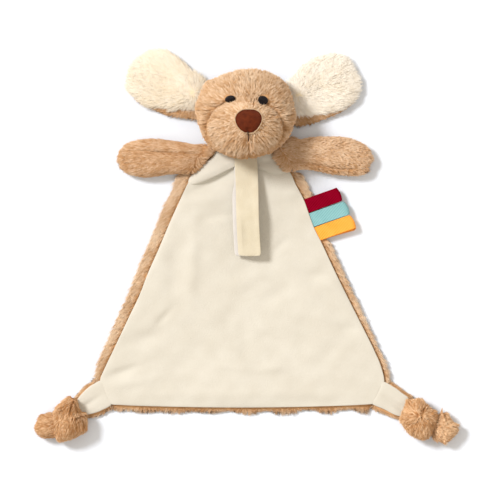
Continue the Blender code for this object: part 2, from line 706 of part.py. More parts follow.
def arm_rows(side, inset):
    """The sections of an arm, its surfaces drawn in by an inset. It starts at the shoulder seam."""
    axis_y = SHOULDER_Y + ARM_ABOVE_SHOULDER
    away = away_from(side, NECK_POINTS[side], SHOULDER_POINTS[side])
    upper = NECK_POINTS[side] + away * GAP
    lower = SHOULDER_POINTS[side] + away * GAP
    level = ARM_THICKNESS * ARM_BELLY_SHARE
    shares = [(upper[0], upper[1], lower[0], lower[1], ARM_ROOT_FULLNESS_SHARE)]
    for upper_out, upper_high, lower_out, lower_high, full in ARM_SHARES[side]:
        upper_x = ARM_HINGES[side][0] + side * upper_out * ARM_LENGTH
        lower_x = ARM_HINGES[side][0] + side * lower_out * ARM_LENGTH
        upper_y, lower_y = axis_y + upper_high * ARM_WIDTH, axis_y + lower_high * ARM_WIDTH
        shares.append((upper_x, upper_y, lower_x, lower_y, full))
    rows = []
    for upper_x, upper_y, lower_x, lower_y, full in smooth_rows(shares, SIDE_STEPS):
        line = unit((lower_x - upper_x, lower_y - upper_y)) * inset
        rise = (ARM_THICKNESS - level) * full - inset
        drop = (level + REST_CUT) * full - inset
        edge = level * full + GAP * (1 - full)
        upper_x, upper_y = upper_x + line[0], upper_y + line[1]
        lower_x, lower_y = lower_x - line[0], lower_y - line[1]
        rows.append((upper_x, upper_y, lower_x, lower_y, edge, rise, drop, 0))
    return rows


def make_arms():
    """Both arms: the covers, open at the shoulder seam, and the filling in them."""
    for side, word in SIDE_NAMES.items():
        body = "arm_" + word
        shape = press_flat(pillow(arm_rows(side, 0), ARM_COLUMNS, ARM_FULLNESS))
        cover = add_piece(body + "_cover", shape, body, PLUSH_TAN, PLUSH_ROUGHNESS)
        hollow = arm_rows(side, ARM_PLUSH_THICKNESS)[:-1]
        back_out = np.tile(-OVERRUN * away_from(side, NECK_POINTS[side], SHOULDER_POINTS[side]), 2)
        mouth = (*(np.array(hollow[0][:4]) + back_out), *hollow[0][4:])
        hollow = pillow([mouth, *hollow], ARM_HOLLOW_COLUMNS, ARM_FULLNESS)
        trim(cover, add_cutter(body + "_hollow", hollow))
        trim(cover, HEAD_CLEARANCE)
        rows = arm_rows(side, ARM_PLUSH_THICKNESS + GAP)[1:-2]
        filling = pillow(rows, ARM_HOLLOW_COLUMNS, ARM_FULLNESS)
        add_piece(body + "_filling", filling, body, FIBRE_WHITE, PLUSH_ROUGHNESS)


# The soother strap: two leaves that close on each other round a soother's ring. Each row of shares
# is how far down the strap it lies, how wide the strap is there and how far the outer leaf is lifted.

STRAP_SHARES = (
    (0, 1, 0), (0.2, 1, 0.3), (0.4, 1, 0.65), (0.6, 1, 0.93), (0.72, 1, 1),
    (0.93, 1, 1), (0.975, 0.94, 1), (1, 0.8, 1),
)
STRAP_FULLNESS = 8
STRAP_COLUMNS = 6


def strap_rows(shift, floor, thickness, lifts):
    """The sections of a leaf from its fold to its free end, with its lift over its floor."""
    rows = []
    for down_share, width_share, lift_share in STRAP_SHARES:
        middle = MIDDLE_X + STRAP_START_ASIDE + STRAP_SWAY * down_share - shift
        y = STRAP_Y - STRAP_LENGTH * down_share
        half = STRAP_WIDTH * width_share / 2
        rows.append((middle - half, y, middle + half, y, floor + lifts * lift_share, thickness, 0, 0))
    return rows


def make_strap():
    """Both leaves of the strap, and the hook and loop patches that close them."""
    spread = 2 * PATCH_THICKNESS + 2 * GAP
    inner_floor = FRONT_TOP + GAP
    rows = strap_rows(LEAF_OFFSET, inner_floor, STRAP_THICKNESS, 0)
    inner = pillow(rows, STRAP_COLUMNS, STRAP_FULLNESS)
    add_piece("strap_inner_leaf", inner, "strap_inner", LINING_WHITE, VELOUR_ROUGHNESS)
    outer_floor = inner_floor + STRAP_THICKNESS + GAP
    rows = strap_rows(0, outer_floor, STRAP_THICKNESS, spread)
    outer = pillow(rows, STRAP_COLUMNS, STRAP_FULLNESS)
    add_piece("strap_outer_leaf", outer, "strap_outer", VELOUR_CREAM, VELOUR_ROUGHNESS)
    middle_y = STRAP_Y - STRAP_LENGTH + PATCH_FROM_END + PATCH_LENGTH / 2
    middle_x = MIDDLE_X + STRAP_START_ASIDE + STRAP_SWAY - LEAF_OFFSET / 2
    floor = outer_floor
    for name, body in (("loop_patch", "strap_inner"), ("hook_patch", "strap_outer")):
        low = (middle_x - PATCH_WIDTH / 2, middle_y - PATCH_LENGTH / 2, floor)
        high = (middle_x + PATCH_WIDTH / 2, middle_y + PATCH_LENGTH / 2, floor + PATCH_THICKNESS)
        add_piece(name, box(low, high), body, LINING_WHITE, VELOUR_ROUGHNESS)
        floor += PATCH_THICKNESS + GAP


# The ribbon tags: three open loops, sewn into the right side seam

RIBBON_END_STEPS = 8
RIBBON_RUN_STEPS = 3


def ribbon_path():
    """One loop's middle line as distances out and heights: along below, round the end and back."""
    low = RIBBON_THICKNESS / 2
    root_high = low + RIBBON_THICKNESS + GAP
    radius = RIBBON_LOOP / 2
    centre = RIBBON_LENGTH - radius
    path = [(centre * step / RIBBON_RUN_STEPS, low) for step in range(RIBBON_RUN_STEPS)]
    for step in range(RIBBON_END_STEPS + 1):
        angle = -math.pi / 2 + math.pi * step / RIBBON_END_STEPS
        path.append((centre + radius * math.cos(angle), low + radius + radius * math.sin(angle)))
    for step in range(1, RIBBON_RUN_STEPS + 1):
        share = step / RIBBON_RUN_STEPS
        path.append((centre * (1 - share), between(low + RIBBON_LOOP, root_high, share)))
    return path


def make_ribbons():
    """The three loops, side by side and square to the side seam."""
    colours = (RIBBON_CRIMSON, RIBBON_AQUA, RIBBON_ORANGE)
    along = unit(CORNER_POINTS[RIGHT] - SHOULDER_POINTS[RIGHT])
    out = np.array((-along[1], along[0]))
    start_gap = 2 * GAP
    for order, (word, colour) in enumerate(zip(RIBBON_NAMES, colours)):
        shape = bmesh.new()
        rails = []
        for half in (-RIBBON_WIDTH / 2, RIBBON_WIDTH / 2):
            rail = []
            for reach, height in ribbon_path():
                x, y = ribbon_root(order) + out * (reach + start_gap) + along * half
                rail.append(shape.verts.new((x, y, FRONT_FLOOR + GAP + height)))
            rails.append(rail)
        for k in range(len(rails[0]) - 1):
            shape.faces.new((rails[0][k], rails[0][k + 1], rails[1][k + 1], rails[1][k]))
        name = "ribbon_" + word
        ribbon = add_piece(name, shape, name, colour, SATIN_ROUGHNESS)
        wall = ribbon.modifiers.new("Thickness", "SOLIDIFY")
        wall.thickness = RIBBON_THICKNESS
        wall.offset = 0


# The knotted corners: a strip of each layer, tied in a knot, with a short tail

STRIP_RUN_SHARES = (0.83, -0.56)  # out and down, the way that a strip runs from its seam
STRIP_STEPS = 4
STRIP_COLUMNS = 8
STRIP_FULLNESS = 4
KNOT_GROOVE_SHARE = 0.1  # how far along the knot its groove lies
KNOT_GROOVE_SHARPNESS = 9.0


def corner_direction(side):
    """The way the strip runs from the middle of the corner seam."""
    return unit((side * STRIP_RUN_SHARES[0], STRIP_RUN_SHARES[1]))


def knot_form(width, length, grow=0.0):
    """The knot: an egg of bunched plush, with a groove where the last turn passes over the first."""
    radii = (width / 2 + grow, length / 2 + grow, KNOT_HEIGHT / 2 + grow)
    shape = ball(Vector((0, 0, 0)), radii, 20, 12)
    for vert in shape.verts:
        off = vert.co.y / length + vert.co.x / width / 2 - KNOT_GROOVE_SHARE
        depth = KNOT_GROOVE * math.exp(-((off * KNOT_GROOVE_SHARPNESS) ** 2))
        vert.co *= 1 - 2 * depth / width
    return shape


def lay_form(shape, side, place, turn, height):
    """Turns a form about Z and lays it at its place by a corner seam."""
    middle = CORNER_HINGES[side] + np.array((side * place[0], place[1]))
    away = Vector((*middle, height / 2 - REST_CUT))
    bmesh.ops.rotate(shape, verts=shape.verts, matrix=Matrix.Rotation(math.radians(turn), 3, "Z"))
    bmesh.ops.translate(shape, verts=shape.verts, vec=away)
    return shape


def strip_rows(side, top_ends, floor, thickness):
    """The sections of one layer of a corner strip, from the corner seam into the knot."""
    start_high, start_low = top_ends
    run = corner_direction(side)
    square = np.array((-run[1], run[0])) * side
    end = CORNER_HINGES[side] + run * STRIP_LENGTH
    half = STRIP_END_WIDTH / 2
    end_high, end_low = end + square * half, end - square * half
    rows = []
    for share in np.linspace(0, 1, STRIP_STEPS + 1):
        high = between(start_high, end_high, share)
        low = between(start_low, end_low, share)
        rows.append((*high, *low, floor, thickness, 0, 0))
    return rows


def make_corners():
    """Both corners: front and back strips, the knot and its tail."""
    knot_sizes = {LEFT: (LEFT_KNOT_WIDTH, LEFT_KNOT_LENGTH), RIGHT: (RIGHT_KNOT_WIDTH, RIGHT_KNOT_LENGTH)}
    knot_places = {LEFT: (LEFT_KNOT_PLACE, LEFT_KNOT_TURN), RIGHT: (RIGHT_KNOT_PLACE, RIGHT_KNOT_TURN)}
    tail_places = {LEFT: (LEFT_TAIL_PLACE, LEFT_TAIL_TURN), RIGHT: (RIGHT_TAIL_PLACE, RIGHT_TAIL_TURN)}
    for side, word in SIDE_NAMES.items():
        body = "corner_" + word
        seam = unit(CORNER_POINTS[side] - HEM_POINTS[side])
        away = away_from(side, CORNER_POINTS[side], HEM_POINTS[side])
        high = CORNER_POINTS[side] + away * GAP
        low = HEM_POINTS[side] + away * GAP
        place, turn = knot_places[side]
        knot = press_flat(lay_form(knot_form(*knot_sizes[side]), side, place, turn, KNOT_HEIGHT))
        add_piece(body + "_knot", knot, body, PLUSH_TAN, PLUSH_ROUGHNESS)
        grown = lay_form(knot_form(*knot_sizes[side], GAP), side, place, turn, KNOT_HEIGHT)
        clearance = add_cutter(body + "_knot_clearance", grown)
        place, turn = tail_places[side]
        tail = ball(Vector((0, 0, 0)), (TAIL_WIDTH / 2, TAIL_LENGTH / 2, TAIL_HEIGHT / 2), 16, 10)
        tail = press_flat(lay_form(tail, side, place, turn, TAIL_HEIGHT))
        trim(add_piece(body + "_tail", tail, body, PLUSH_TAN, PLUSH_ROUGHNESS), clearance)
        rows = strip_rows(side, (high, low), FRONT_FLOOR, FRONT_THICKNESS)
        front = pillow(rows, STRIP_COLUMNS, STRIP_FULLNESS)
        trim(add_piece(body + "_front", front, body, VELOUR_CREAM, VELOUR_ROUGHNESS), clearance)
        rows = strip_rows(side, (high + seam * RIM_AT_CORNER, low - seam * RIM_AT_CORNER), 0, BACK_THICKNESS)
        back = pillow(rows, STRIP_COLUMNS, STRIP_FULLNESS)
        trim(add_piece(body + "_back", back, body, PLUSH_TAN, PLUSH_ROUGHNESS), clearance)


make_back()
make_front()
make_yoke()
make_head()
make_muzzle()
make_nose()
make_eyes()
make_ears()
make_arms()
make_strap()
make_ribbons()
make_corners()
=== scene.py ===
"""A comfort blanket with a stuffed dog's head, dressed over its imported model.

The plush has real pile, the velour its soft hollows, and the ribbons, the eyes and the nose their
ribs and threads. Metres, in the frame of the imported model.
"""
import math

import bpy
import numpy as np
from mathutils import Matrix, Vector


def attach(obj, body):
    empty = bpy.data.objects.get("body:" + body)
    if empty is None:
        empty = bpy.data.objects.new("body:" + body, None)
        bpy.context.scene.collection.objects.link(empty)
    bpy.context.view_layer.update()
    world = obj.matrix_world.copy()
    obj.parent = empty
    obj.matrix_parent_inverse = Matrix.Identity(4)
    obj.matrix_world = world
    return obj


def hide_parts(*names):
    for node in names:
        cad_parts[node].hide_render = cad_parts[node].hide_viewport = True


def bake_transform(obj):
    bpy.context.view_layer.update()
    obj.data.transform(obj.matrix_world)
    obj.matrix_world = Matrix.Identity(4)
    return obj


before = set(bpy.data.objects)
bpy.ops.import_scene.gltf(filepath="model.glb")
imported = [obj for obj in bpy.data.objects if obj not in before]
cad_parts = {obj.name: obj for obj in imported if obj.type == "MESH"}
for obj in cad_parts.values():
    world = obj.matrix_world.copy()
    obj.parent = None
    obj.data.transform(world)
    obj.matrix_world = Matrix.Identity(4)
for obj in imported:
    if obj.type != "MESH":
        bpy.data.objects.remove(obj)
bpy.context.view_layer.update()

# The view: the toy lies on a white table and is seen from straight above through a long lens. One
# large soft lamp stands to the left of the head, a little beyond it, and white walls fill the rest.

view_target = Vector((0.0021, -0.003, 0.008))
view_distance = 5.0
view_width = 0.35  # what the picture spans at the target
lamp_height = math.radians(47)
lamp_side = math.radians(57)  # from the head's direction round to the left

lens = bpy.data.cameras.new("camera")
lens.sensor_width = 36
lens.lens = lens.sensor_width * view_distance / view_width
lens.clip_start, lens.clip_end = 0.1, 20
camera = bpy.data.objects.new("camera", lens)
bpy.context.collection.objects.link(camera)
camera.location = view_target + Vector((0, 0, view_distance))
bpy.context.scene.camera = camera

lamp_light = bpy.data.lights.new("soft_lamp", "SUN")
lamp_light.energy = 2.75
lamp_light.angle = math.radians(14)
lamp_light.color = (1.0, 0.985, 0.975)
lamp = bpy.data.objects.new("soft_lamp", lamp_light)
bpy.context.collection.objects.link(lamp)
lamp_way = Vector((
    -math.sin(lamp_side) * math.cos(lamp_height),
    math.cos(lamp_side) * math.cos(lamp_height),
    math.sin(lamp_height),
))
lamp.rotation_euler = lamp_way.to_track_quat("Z", "Y").to_euler()
lamp.location = lamp_way * 2

walls = bpy.data.worlds.new("white_walls")
walls.use_nodes = True
walls.node_tree.nodes["Background"].inputs["Color"].default_value = (1.0, 0.905, 0.79, 1)
walls.node_tree.nodes["Background"].inputs["Strength"].default_value = 0.82
bpy.context.scene.world = walls
bpy.context.scene.view_settings.view_transform = "Standard"


def new_look(name, settings):
    """A material whose shader has these settings, each under the name of its input."""
    look = bpy.data.materials.new(name)
    look.use_nodes = True
    for part, value in settings.items():
        look.node_tree.nodes["Principled BSDF"].inputs[part].default_value = value
    return look


table_half, table_drop = 3.0, 0.0002
table_corners = [
    (x * table_half, y * table_half, -table_drop) for x, y in ((-1, -1), (1, -1), (1, 1), (-1, 1))
]
table_top = bpy.data.meshes.new("table_top")
table_top.from_pydata(table_corners, [], [(0, 1, 2, 3)])
table_top.materials.append(new_look("table_white", {
    "Base Color": (0.792, 0.853, 0.945, 1), "Roughness": 0.8, "Specular IOR Level": 0.2,
}))
table = bpy.data.objects.new("table_top", table_top)
bpy.context.collection.objects.link(table)


# The plush back: one layer of tan knitted plush, turned out past the front's side seams as a soft
# rim. Its pile is brushed outwards along the rim and down over the back that lies on the table.

mm = 0.001


def unit(ways):
    """Each direction at a length of one."""
    return ways / np.maximum(np.linalg.norm(ways, axis=-1, keepdims=True), 1e-9)


def at(*place):
    """A place, or a size along each direction, given in millimetres."""
    return np.array(place) * mm


def bell(*offs):
    """A soft bell, exp(-a * a - b * b): each of a, b is how far off its middle a place is, in widths."""
    return np.exp(-sum(off**2 for off in offs))


def around(count):
    """Bearings at even steps round a full turn."""
    return np.linspace(0, 2 * math.pi, count, endpoint=False)


def rings_out(count):
    """Shares of the way out from a middle, one per row, closer together towards the edge."""
    return (1 - (1 - np.linspace(0, 1, count + 1)) ** 2)[:, None]


def closed_curve(points, count):
    """An even walk round a smooth closed curve through points given in millimetres.

    Between two points the curve is a cubic whose slopes are half the steps between their
    neighbours. It is drawn finely and then read off at equal steps of its length, against the clock.
    """
    knots = np.asarray(points, float) * mm
    onward = np.roll(knots, -1, 0)
    if (knots[:, 0] * onward[:, 1] - onward[:, 0] * knots[:, 1]).sum() < 0:
        knots = knots[::-1]
    before, after, beyond = np.roll(knots, 1, 0), np.roll(knots, -1, 0), np.roll(knots, -2, 0)
    t = np.linspace(0, 1, 24, endpoint=False)[None, :, None]
    slope, next_slope = (after - before)[:, None] / 2, (beyond - knots)[:, None] / 2
    fine = (
        knots[:, None] * (2 * t**3 - 3 * t**2 + 1)
        + slope * (t**3 - 2 * t**2 + t)
        + after[:, None] * (3 * t**2 - 2 * t**3)
        + next_slope * (t**3 - t**2)
    ).reshape(-1, knots.shape[1])
    ring = np.vstack([fine, fine[:1]])
    walked = np.append(0, np.cumsum(np.linalg.norm(np.diff(ring, axis=0), axis=1)))
    wanted = np.linspace(0, walked[-1], count, endpoint=False)
    return np.stack([np.interp(wanted, walked, column) for column in ring.T], -1)


def drawn_in(outline, distance):
    """A closed outline moved inwards, square to its own run. It runs against the clock."""
    run = unit(np.roll(outline, -1, 0) - np.roll(outline, 1, 0))
    return outline + np.stack([-run[:, 1], run[:, 0]], -1) * distance


def drift(places, size, seed):
    """Soft unevenness from about minus one to one: six sine waves about a size long, at any slant."""
    chance = np.random.default_rng(seed)
    ways = unit(chance.normal(size=(6, 3))) * (2 * math.pi / size * chance.uniform(0.6, 1.5, (6, 1)))
    return np.sin(places @ ways.T + chance.uniform(0, 2 * math.pi, 6)).sum(-1) / 2.6


def off_edge(outline, places):
    """How far places lie outside a closed outline, less than nought inside it, and the way out."""
    run = unit(np.roll(outline, -1, 0) - np.roll(outline, 1, 0))
    way = np.stack([run[:, 1], -run[:, 0]], -1)
    gap = places[:, None, :2] - outline[None]
    nearest = np.linalg.norm(gap, axis=-1).argmin(1)
    return (gap[np.arange(len(places)), nearest] * way[nearest]).sum(-1), way[nearest]


class Pad:
    """A soft form on a closed outline.

    Over a share r of the way from its middle to its outline, the top stands at
    edge + rise * (1 - r ** full) ** (1 / full), and the underside hangs below the edge in the same
    way by the drop. relief(x, y, r) is added to the top, and faded out towards the outline.
    """

    def __init__(
        self, outline, middle, edge, rise, drop, full=2.3, low_full=2.6, relief=None, floor=0.0006, fade=6
    ):
        self.outline, self.middle = outline, at(*middle)
        self.edge, self.rise, self.drop = edge * mm, rise * mm, drop * mm
        self.full, self.low_full, self.relief, self.floor, self.fade = full, low_full, relief, floor, fade

    def top(self, x, y, r):
        """The height of the top at a place, r of the way out."""
        z = self.edge + self.rise * (1 - np.clip(r, 0, 1) ** self.full) ** (1 / self.full)
        return z if self.relief is None else z + self.relief(x, y, r) * (1 - np.clip(r, 0, 1) ** self.fade)

    def height_at(self, x, y):
        """The height of the top over any place, with r read off the outline by its bearing."""
        ways = self.outline - self.middle
        bearings = np.arctan2(ways[:, 1], ways[:, 0])
        order = np.argsort(bearings)
        reach = np.linalg.norm(ways, axis=1)[order]
        off = np.stack([x, y], -1) - self.middle
        out = np.interp(np.arctan2(off[..., 1], off[..., 0]), bearings[order], reach, period=2 * math.pi)
        return self.top(x, y, np.linalg.norm(off, axis=-1) / out)

    def grid(self, rings):
        """Points in rows from the top's middle over the outline to the underside's middle."""
        share = rings_out(rings)
        r = np.concatenate([share, share[-2::-1]])
        flat = self.middle + (self.outline - self.middle)[None] * r[..., None]
        x, y = flat[..., 0], flat[..., 1]
        high = self.top(x, y, r)
        low = self.edge - self.drop * (1 - r**self.low_full) ** (1 / self.low_full)
        rows = np.arange(2 * rings + 1)[:, None]
        z = np.where(rows <= rings, high, low) + np.zeros_like(x)
        return np.stack([x, y, np.maximum(z, self.floor)], -1)


def put_mesh(name, places, faces, look, uv=None, normals=None):
    """Places and faces, each an array of one face size, in a new smooth object.

    Its shading normals, where given, are one per face corner or one per vertex.
    """
    mesh = bpy.data.meshes.new(name)
    sizes = np.concatenate([np.full(len(part), part.shape[1]) for part in faces])
    corners = np.concatenate([part.ravel() for part in faces]).astype(np.int32)
    mesh.vertices.add(len(places))
    mesh.vertices.foreach_set("co", np.ascontiguousarray(places, np.float32).ravel())
    mesh.loops.add(len(corners))
    mesh.loops.foreach_set("vertex_index", corners)
    mesh.polygons.add(len(sizes))
    mesh.polygons.foreach_set("loop_start", (np.cumsum(sizes) - sizes).astype(np.int32))
    mesh.update(calc_edges=True)
    mesh.shade_smooth()
    if uv is not None:
        mesh.uv_layers.new(name="OFBake").data.foreach_set("uv", uv.astype(np.float32).ravel())
    if normals is not None and len(normals) == len(corners):
        mesh.normals_split_custom_set(normals.tolist())
    elif normals is not None:
        mesh.normals_split_custom_set_from_vertices(normals.tolist())
    mesh.materials.append(look)
    made = bpy.data.objects.new(name, mesh)
    bpy.context.collection.objects.link(made)
    return made


def closed_skin(name, grid, look):
    """A closed surface on a grid: its first and last rows are poles, and its columns go round."""
    rows, columns = grid.shape[:2]
    places = np.vstack([grid[0, :1], grid[1:-1].reshape(-1, 3), grid[-1, :1]])
    here = 1 + np.arange((rows - 2) * columns).reshape(rows - 2, columns)
    beside = np.roll(here, -1, 1)
    quads = np.stack([here[:-1], here[1:], beside[1:], beside[:-1]], -1).reshape(-1, 4)
    high = np.stack([np.zeros(columns), here[0], beside[0]], -1)
    low = np.stack([np.full(columns, len(places) - 1), beside[-1], here[-1]], -1)
    return put_mesh(name, places, [quads, np.vstack([high, low])], look)


def scattered(skin, count, chance):
    """Places spread evenly over a skin by its area, and its normal at each."""
    mesh = skin.data
    mesh.calc_loop_triangles()
    corners = np.empty(len(mesh.loop_triangles) * 3, np.int32)
    mesh.loop_triangles.foreach_get("vertices", corners)
    places, facing = np.empty(len(mesh.vertices) * 3), np.empty(len(mesh.vertices) * 3)
    mesh.vertices.foreach_get("co", places)
    mesh.vertex_normals.foreach_get("vector", facing)
    corners, places, facing = corners.reshape(-1, 3), places.reshape(-1, 3), facing.reshape(-1, 3)
    one, two, three = (places[corners[:, k]] for k in range(3))
    reach = np.cumsum(np.linalg.norm(np.cross(two - one, three - one), axis=1))
    chosen = np.searchsorted(reach, (np.arange(count) + chance.random(count)) / count * reach[-1])
    u, v = chance.random((2, count))
    u, v = np.where(u + v > 1, 1 - u, u), np.where(u + v > 1, 1 - v, v)
    shares = np.stack([1 - u - v, u, v], -1)[..., None]
    return (places[corners[chosen]] * shares).sum(1), unit((facing[corners[chosen]] * shares).sum(1))


def put_spikes(name, places, shade, soft, stations, look, lit_below):
    """Closed three-sided spikes, each with three places at every station and one at its tip.

    soft holds the shading normal of each place. The map holds each spike's shade across and its
    way along it up. With lit_below the face under each spike is shaded as the skin seen from behind.
    """
    spikes, levels = len(places), len(stations)
    ring, following = np.array([0, 1, 2]), np.array([1, 2, 0])
    lift = np.arange(levels - 1)[:, None] * 3
    quads = np.stack([ring + lift, ring + lift + 3, following + lift + 3, following + lift], -1)
    quads = quads.reshape(-1, 4)
    last = 3 * (levels - 1)
    ends = np.stack([ring + last, np.full(3, 3 * levels), following + last], -1)
    ends = np.vstack([ends, [[0, 1, 2]]])
    starts = (np.arange(spikes) * (3 * levels + 1))[:, None, None]
    quads, ends = (quads[None] + starts).reshape(-1, 4), (ends[None] + starts).reshape(-1, 3)
    across = np.append(np.tile([0.0, 0.02, 0.01], levels), 0.01)
    along = np.append(np.repeat(stations, 3), 1.0)
    spots = np.stack([
        0.01 + 0.95 * shade.reshape(-1, 1) + across[None],
        np.broadcast_to(0.02 + 0.96 * along[None], (spikes, len(along))),
    ], -1).reshape(-1, 2)
    uv = np.concatenate([spots[quads.ravel()], spots[ends.ravel()]])
    # The corners of a spike's base lie on one line of the map, so the last of them is moved off it.
    base_last = len(quads) * 4 + np.arange(spikes) * 12 + 11
    uv[base_last, 1] += 0.02
    down = -soft[:, 2]
    soft = soft.reshape(-1, 3)
    if lit_below:
        soft = np.concatenate([soft[quads.ravel()], soft[ends.ravel()]])
        soft[: quads.size].reshape(spikes, levels - 1, 3, 4, 3)[:, :, 0] = down[:, None, None]
        soft[quads.size :].reshape(spikes, 4, 3, 3)[:, 0] = down[:, None]
    return put_mesh(name, places.reshape(-1, 3), [quads, ends], look, uv, soft)


def grow_pile(
    name, skin, locks, length, flow, look, tone, keep, seed, lay=0.62, width=0.42, strands=6, spread=0.7,
    clump=0.3, ruffle=0.12, mottle=0.16, soften=0.8, upward=0.5, at_edge=0.12, stations=(0, 0.55),
    lit_below=False,
):
    """Pile in locks on a skin: each fibre is a closed, tapering, three-sided spike.

    A fibre rises along the skin's normal and bends over the way the pile is brushed:
    place(t) = root + normal * height * (2t - t * t) + flow * run * t ** 1.5, where lay shares its
    length between height (0) and run (1). The fibres of a lock draw together towards its tip.
    Lengths in millimetres. Near the floor a fibre flattens: its height z becomes
    floor + ease * log(1 + exp((z - floor) / ease)). A share of the skin's own normal, soften, evens its
    shading where the skin looks up, with at_edge of it left where the skin stands upright, and
    upward turns that normal up. length, lay and soften are numbers, or worked out at each root.
    """
    # How far locks, and the fibres in one, go from their stated length, and fibres from their width.
    lock_range, fibre_range, width_range = (0.8, 1.15), (0.8, 1.1), (0.75, 1.25)
    sunk, floor, ease = 0.4 * mm, 0.0003, 0.3 * mm
    chance = np.random.default_rng(seed)
    root, normal = scattered(skin, locks, chance)
    kept = chance.random(locks) < keep(root, normal)
    root, normal = root[kept], normal[kept]
    count = len(root)
    ruffled = np.stack([drift(root, 0.012, seed + k) for k in (11, 12, 13)], -1)
    ruffled = ruffled + chance.normal(size=(count, 3)) / 3
    way = unit(flow(root, normal)) + ruffle * ruffled
    way = unit(way - (way * normal).sum(-1, keepdims=True) * normal)
    side = np.cross(way, normal)

    def worked(value):
        return value(root, normal) if callable(value) else np.full(count, float(value))

    long = worked(length) * mm * chance.uniform(*lock_range, count)
    lean = (worked(lay) + chance.normal(size=count) * 0.04).clip(0, 0.99) * math.pi / 2
    shade = tone(root, normal) + chance.normal(size=count) * mottle
    drawn = clump * chance.uniform(0.4, 1.4, count)

    bearing = chance.uniform(0, 2 * math.pi, (count, strands))
    out = spread * mm * np.sqrt(chance.random((count, strands)))
    forward, aside = (out * np.cos(bearing))[..., None], (out * np.sin(bearing))[..., None]
    off = way[:, None] * forward + side[:, None] * aside
    fibre = long[:, None] * chance.uniform(*fibre_range, (count, strands))
    height, run = fibre * np.cos(lean)[:, None], fibre * np.sin(lean)[:, None]
    sway = fibre * chance.normal(size=(count, strands)) * 0.08
    shade = (shade[:, None] + chance.normal(size=(count, strands)) * 0.08).clip(0, 1)

    t = np.array([*stations, 1.0])[:, None, None]
    line = (
        (root[:, None] + off)[None]
        - off[None] * (drawn[None, :, None] * t)[..., None]
        + normal[None, :, None] * (height * (2 * t - t * t) - sunk)[..., None]
        + way[None, :, None] * (run * t**1.5)[..., None]
        + side[None, :, None] * (sway * t * t)[..., None]
    )
    ahead = unit(line[1:] - line[:-1])
    square = unit(np.cross(ahead, normal[None, :, None]))
    over = np.cross(square, ahead)
    thick = np.array([1, 0.8])[: len(stations), None, None, None] * width * mm
    thick = thick * chance.uniform(*width_range, (1, count, strands, 1))
    body = line[:-1]
    rows = np.stack([body - square * thick / 2, body + square * thick / 2, body + over * thick * 0.45], 3)
    rows = np.moveaxis(rows, 0, 2).reshape(count * strands, -1, 3)
    tips = line[-1].reshape(-1, 1, 3)
    places = np.concatenate([rows, tips], 1)
    places[..., 2] = floor + ease * np.logaddexp(0, (places[..., 2] - floor) / ease)
    share = (worked(soften) * (at_edge + normal[:, 2] * 1.5).clip(0, 1))[None, :, None, None]
    bright = unit(normal + np.array((0, 0, upward)))[None, :, None] * share
    own = (-square - over * 0.4, square - over * 0.4, over)
    soft = np.stack([unit(bright + unit(way_out) * (1 - share)) for way_out in own], 3)
    soft = np.moveaxis(soft, 0, 2).reshape(count * strands, -1, 3)
    soft = np.concatenate([soft, unit(bright[0] + over[-1] * (1 - share[0])).reshape(-1, 1, 3)], 1)
    return put_spikes(name, places, shade, soft, stations, look, lit_below)


def grow_low_pile(name, skin, locks, flow, look, tone, seed, keep=None):
    """The pile under a piece, pressed over by the table: broad fibres, lying almost flat."""

    def below(root, normal):
        return (normal[:, 2] < -0.3) * (1.0 if keep is None else keep(root, normal))

    return grow_pile(
        name, skin, locks, 4.4, flow, look, tone, below, seed, lay=0.92, width=1.0, strands=4, spread=1.5,
        clump=0.35, stations=(0,),
    )


def mixed(look, share, low, high):
    """In a look, the mix of two colours or outputs by a share that goes from nought to one."""
    mix = look.node_tree.nodes.new("ShaderNodeMix")
    mix.data_type = "RGBA"
    look.node_tree.links.new(share, mix.inputs["Factor"])
    for part, value in (("A", low), ("B", high)):
        if isinstance(value, tuple):
            mix.inputs[part].default_value = (*value, 1)
        else:
            look.node_tree.links.new(value, mix.inputs[part])
    return mix.outputs["Result"]


def pile_look(name, roots, tips):
    """Pile whose colour goes from its root to its tip, each between a deep and a pale tone."""
    look = new_look(name, {
        "Roughness": 0.9, "Specular IOR Level": 0.15,
        "Sheen Weight": 0.2, "Sheen Roughness": 0.6, "Sheen Tint": (*tips[1], 1),
    })
    nodes, links = look.node_tree.nodes, look.node_tree.links
    spot, apart = nodes.new("ShaderNodeUVMap"), nodes.new("ShaderNodeSeparateXYZ")
    spot.uv_map = "OFBake"
    links.new(spot.outputs["UV"], apart.inputs["Vector"])
    root, tip = (mixed(look, apart.outputs["X"], *tones) for tones in (roots, tips))
    links.new(mixed(look, apart.outputs["Y"], root, tip), nodes["Principled BSDF"].inputs["Base Color"])
    return look


def raise_grain(look, height, strength, distance):
    """A look's surface raised by an output, up to a distance in metres."""
    nodes, links = look.node_tree.nodes, look.node_tree.links
    raised = nodes.new("ShaderNodeBump")
    raised.inputs["Strength"].default_value, raised.inputs["Distance"].default_value = strength, distance
    links.new(height, raised.inputs["Height"])
    links.new(raised.outputs["Normal"], nodes["Principled BSDF"].inputs["Normal"])


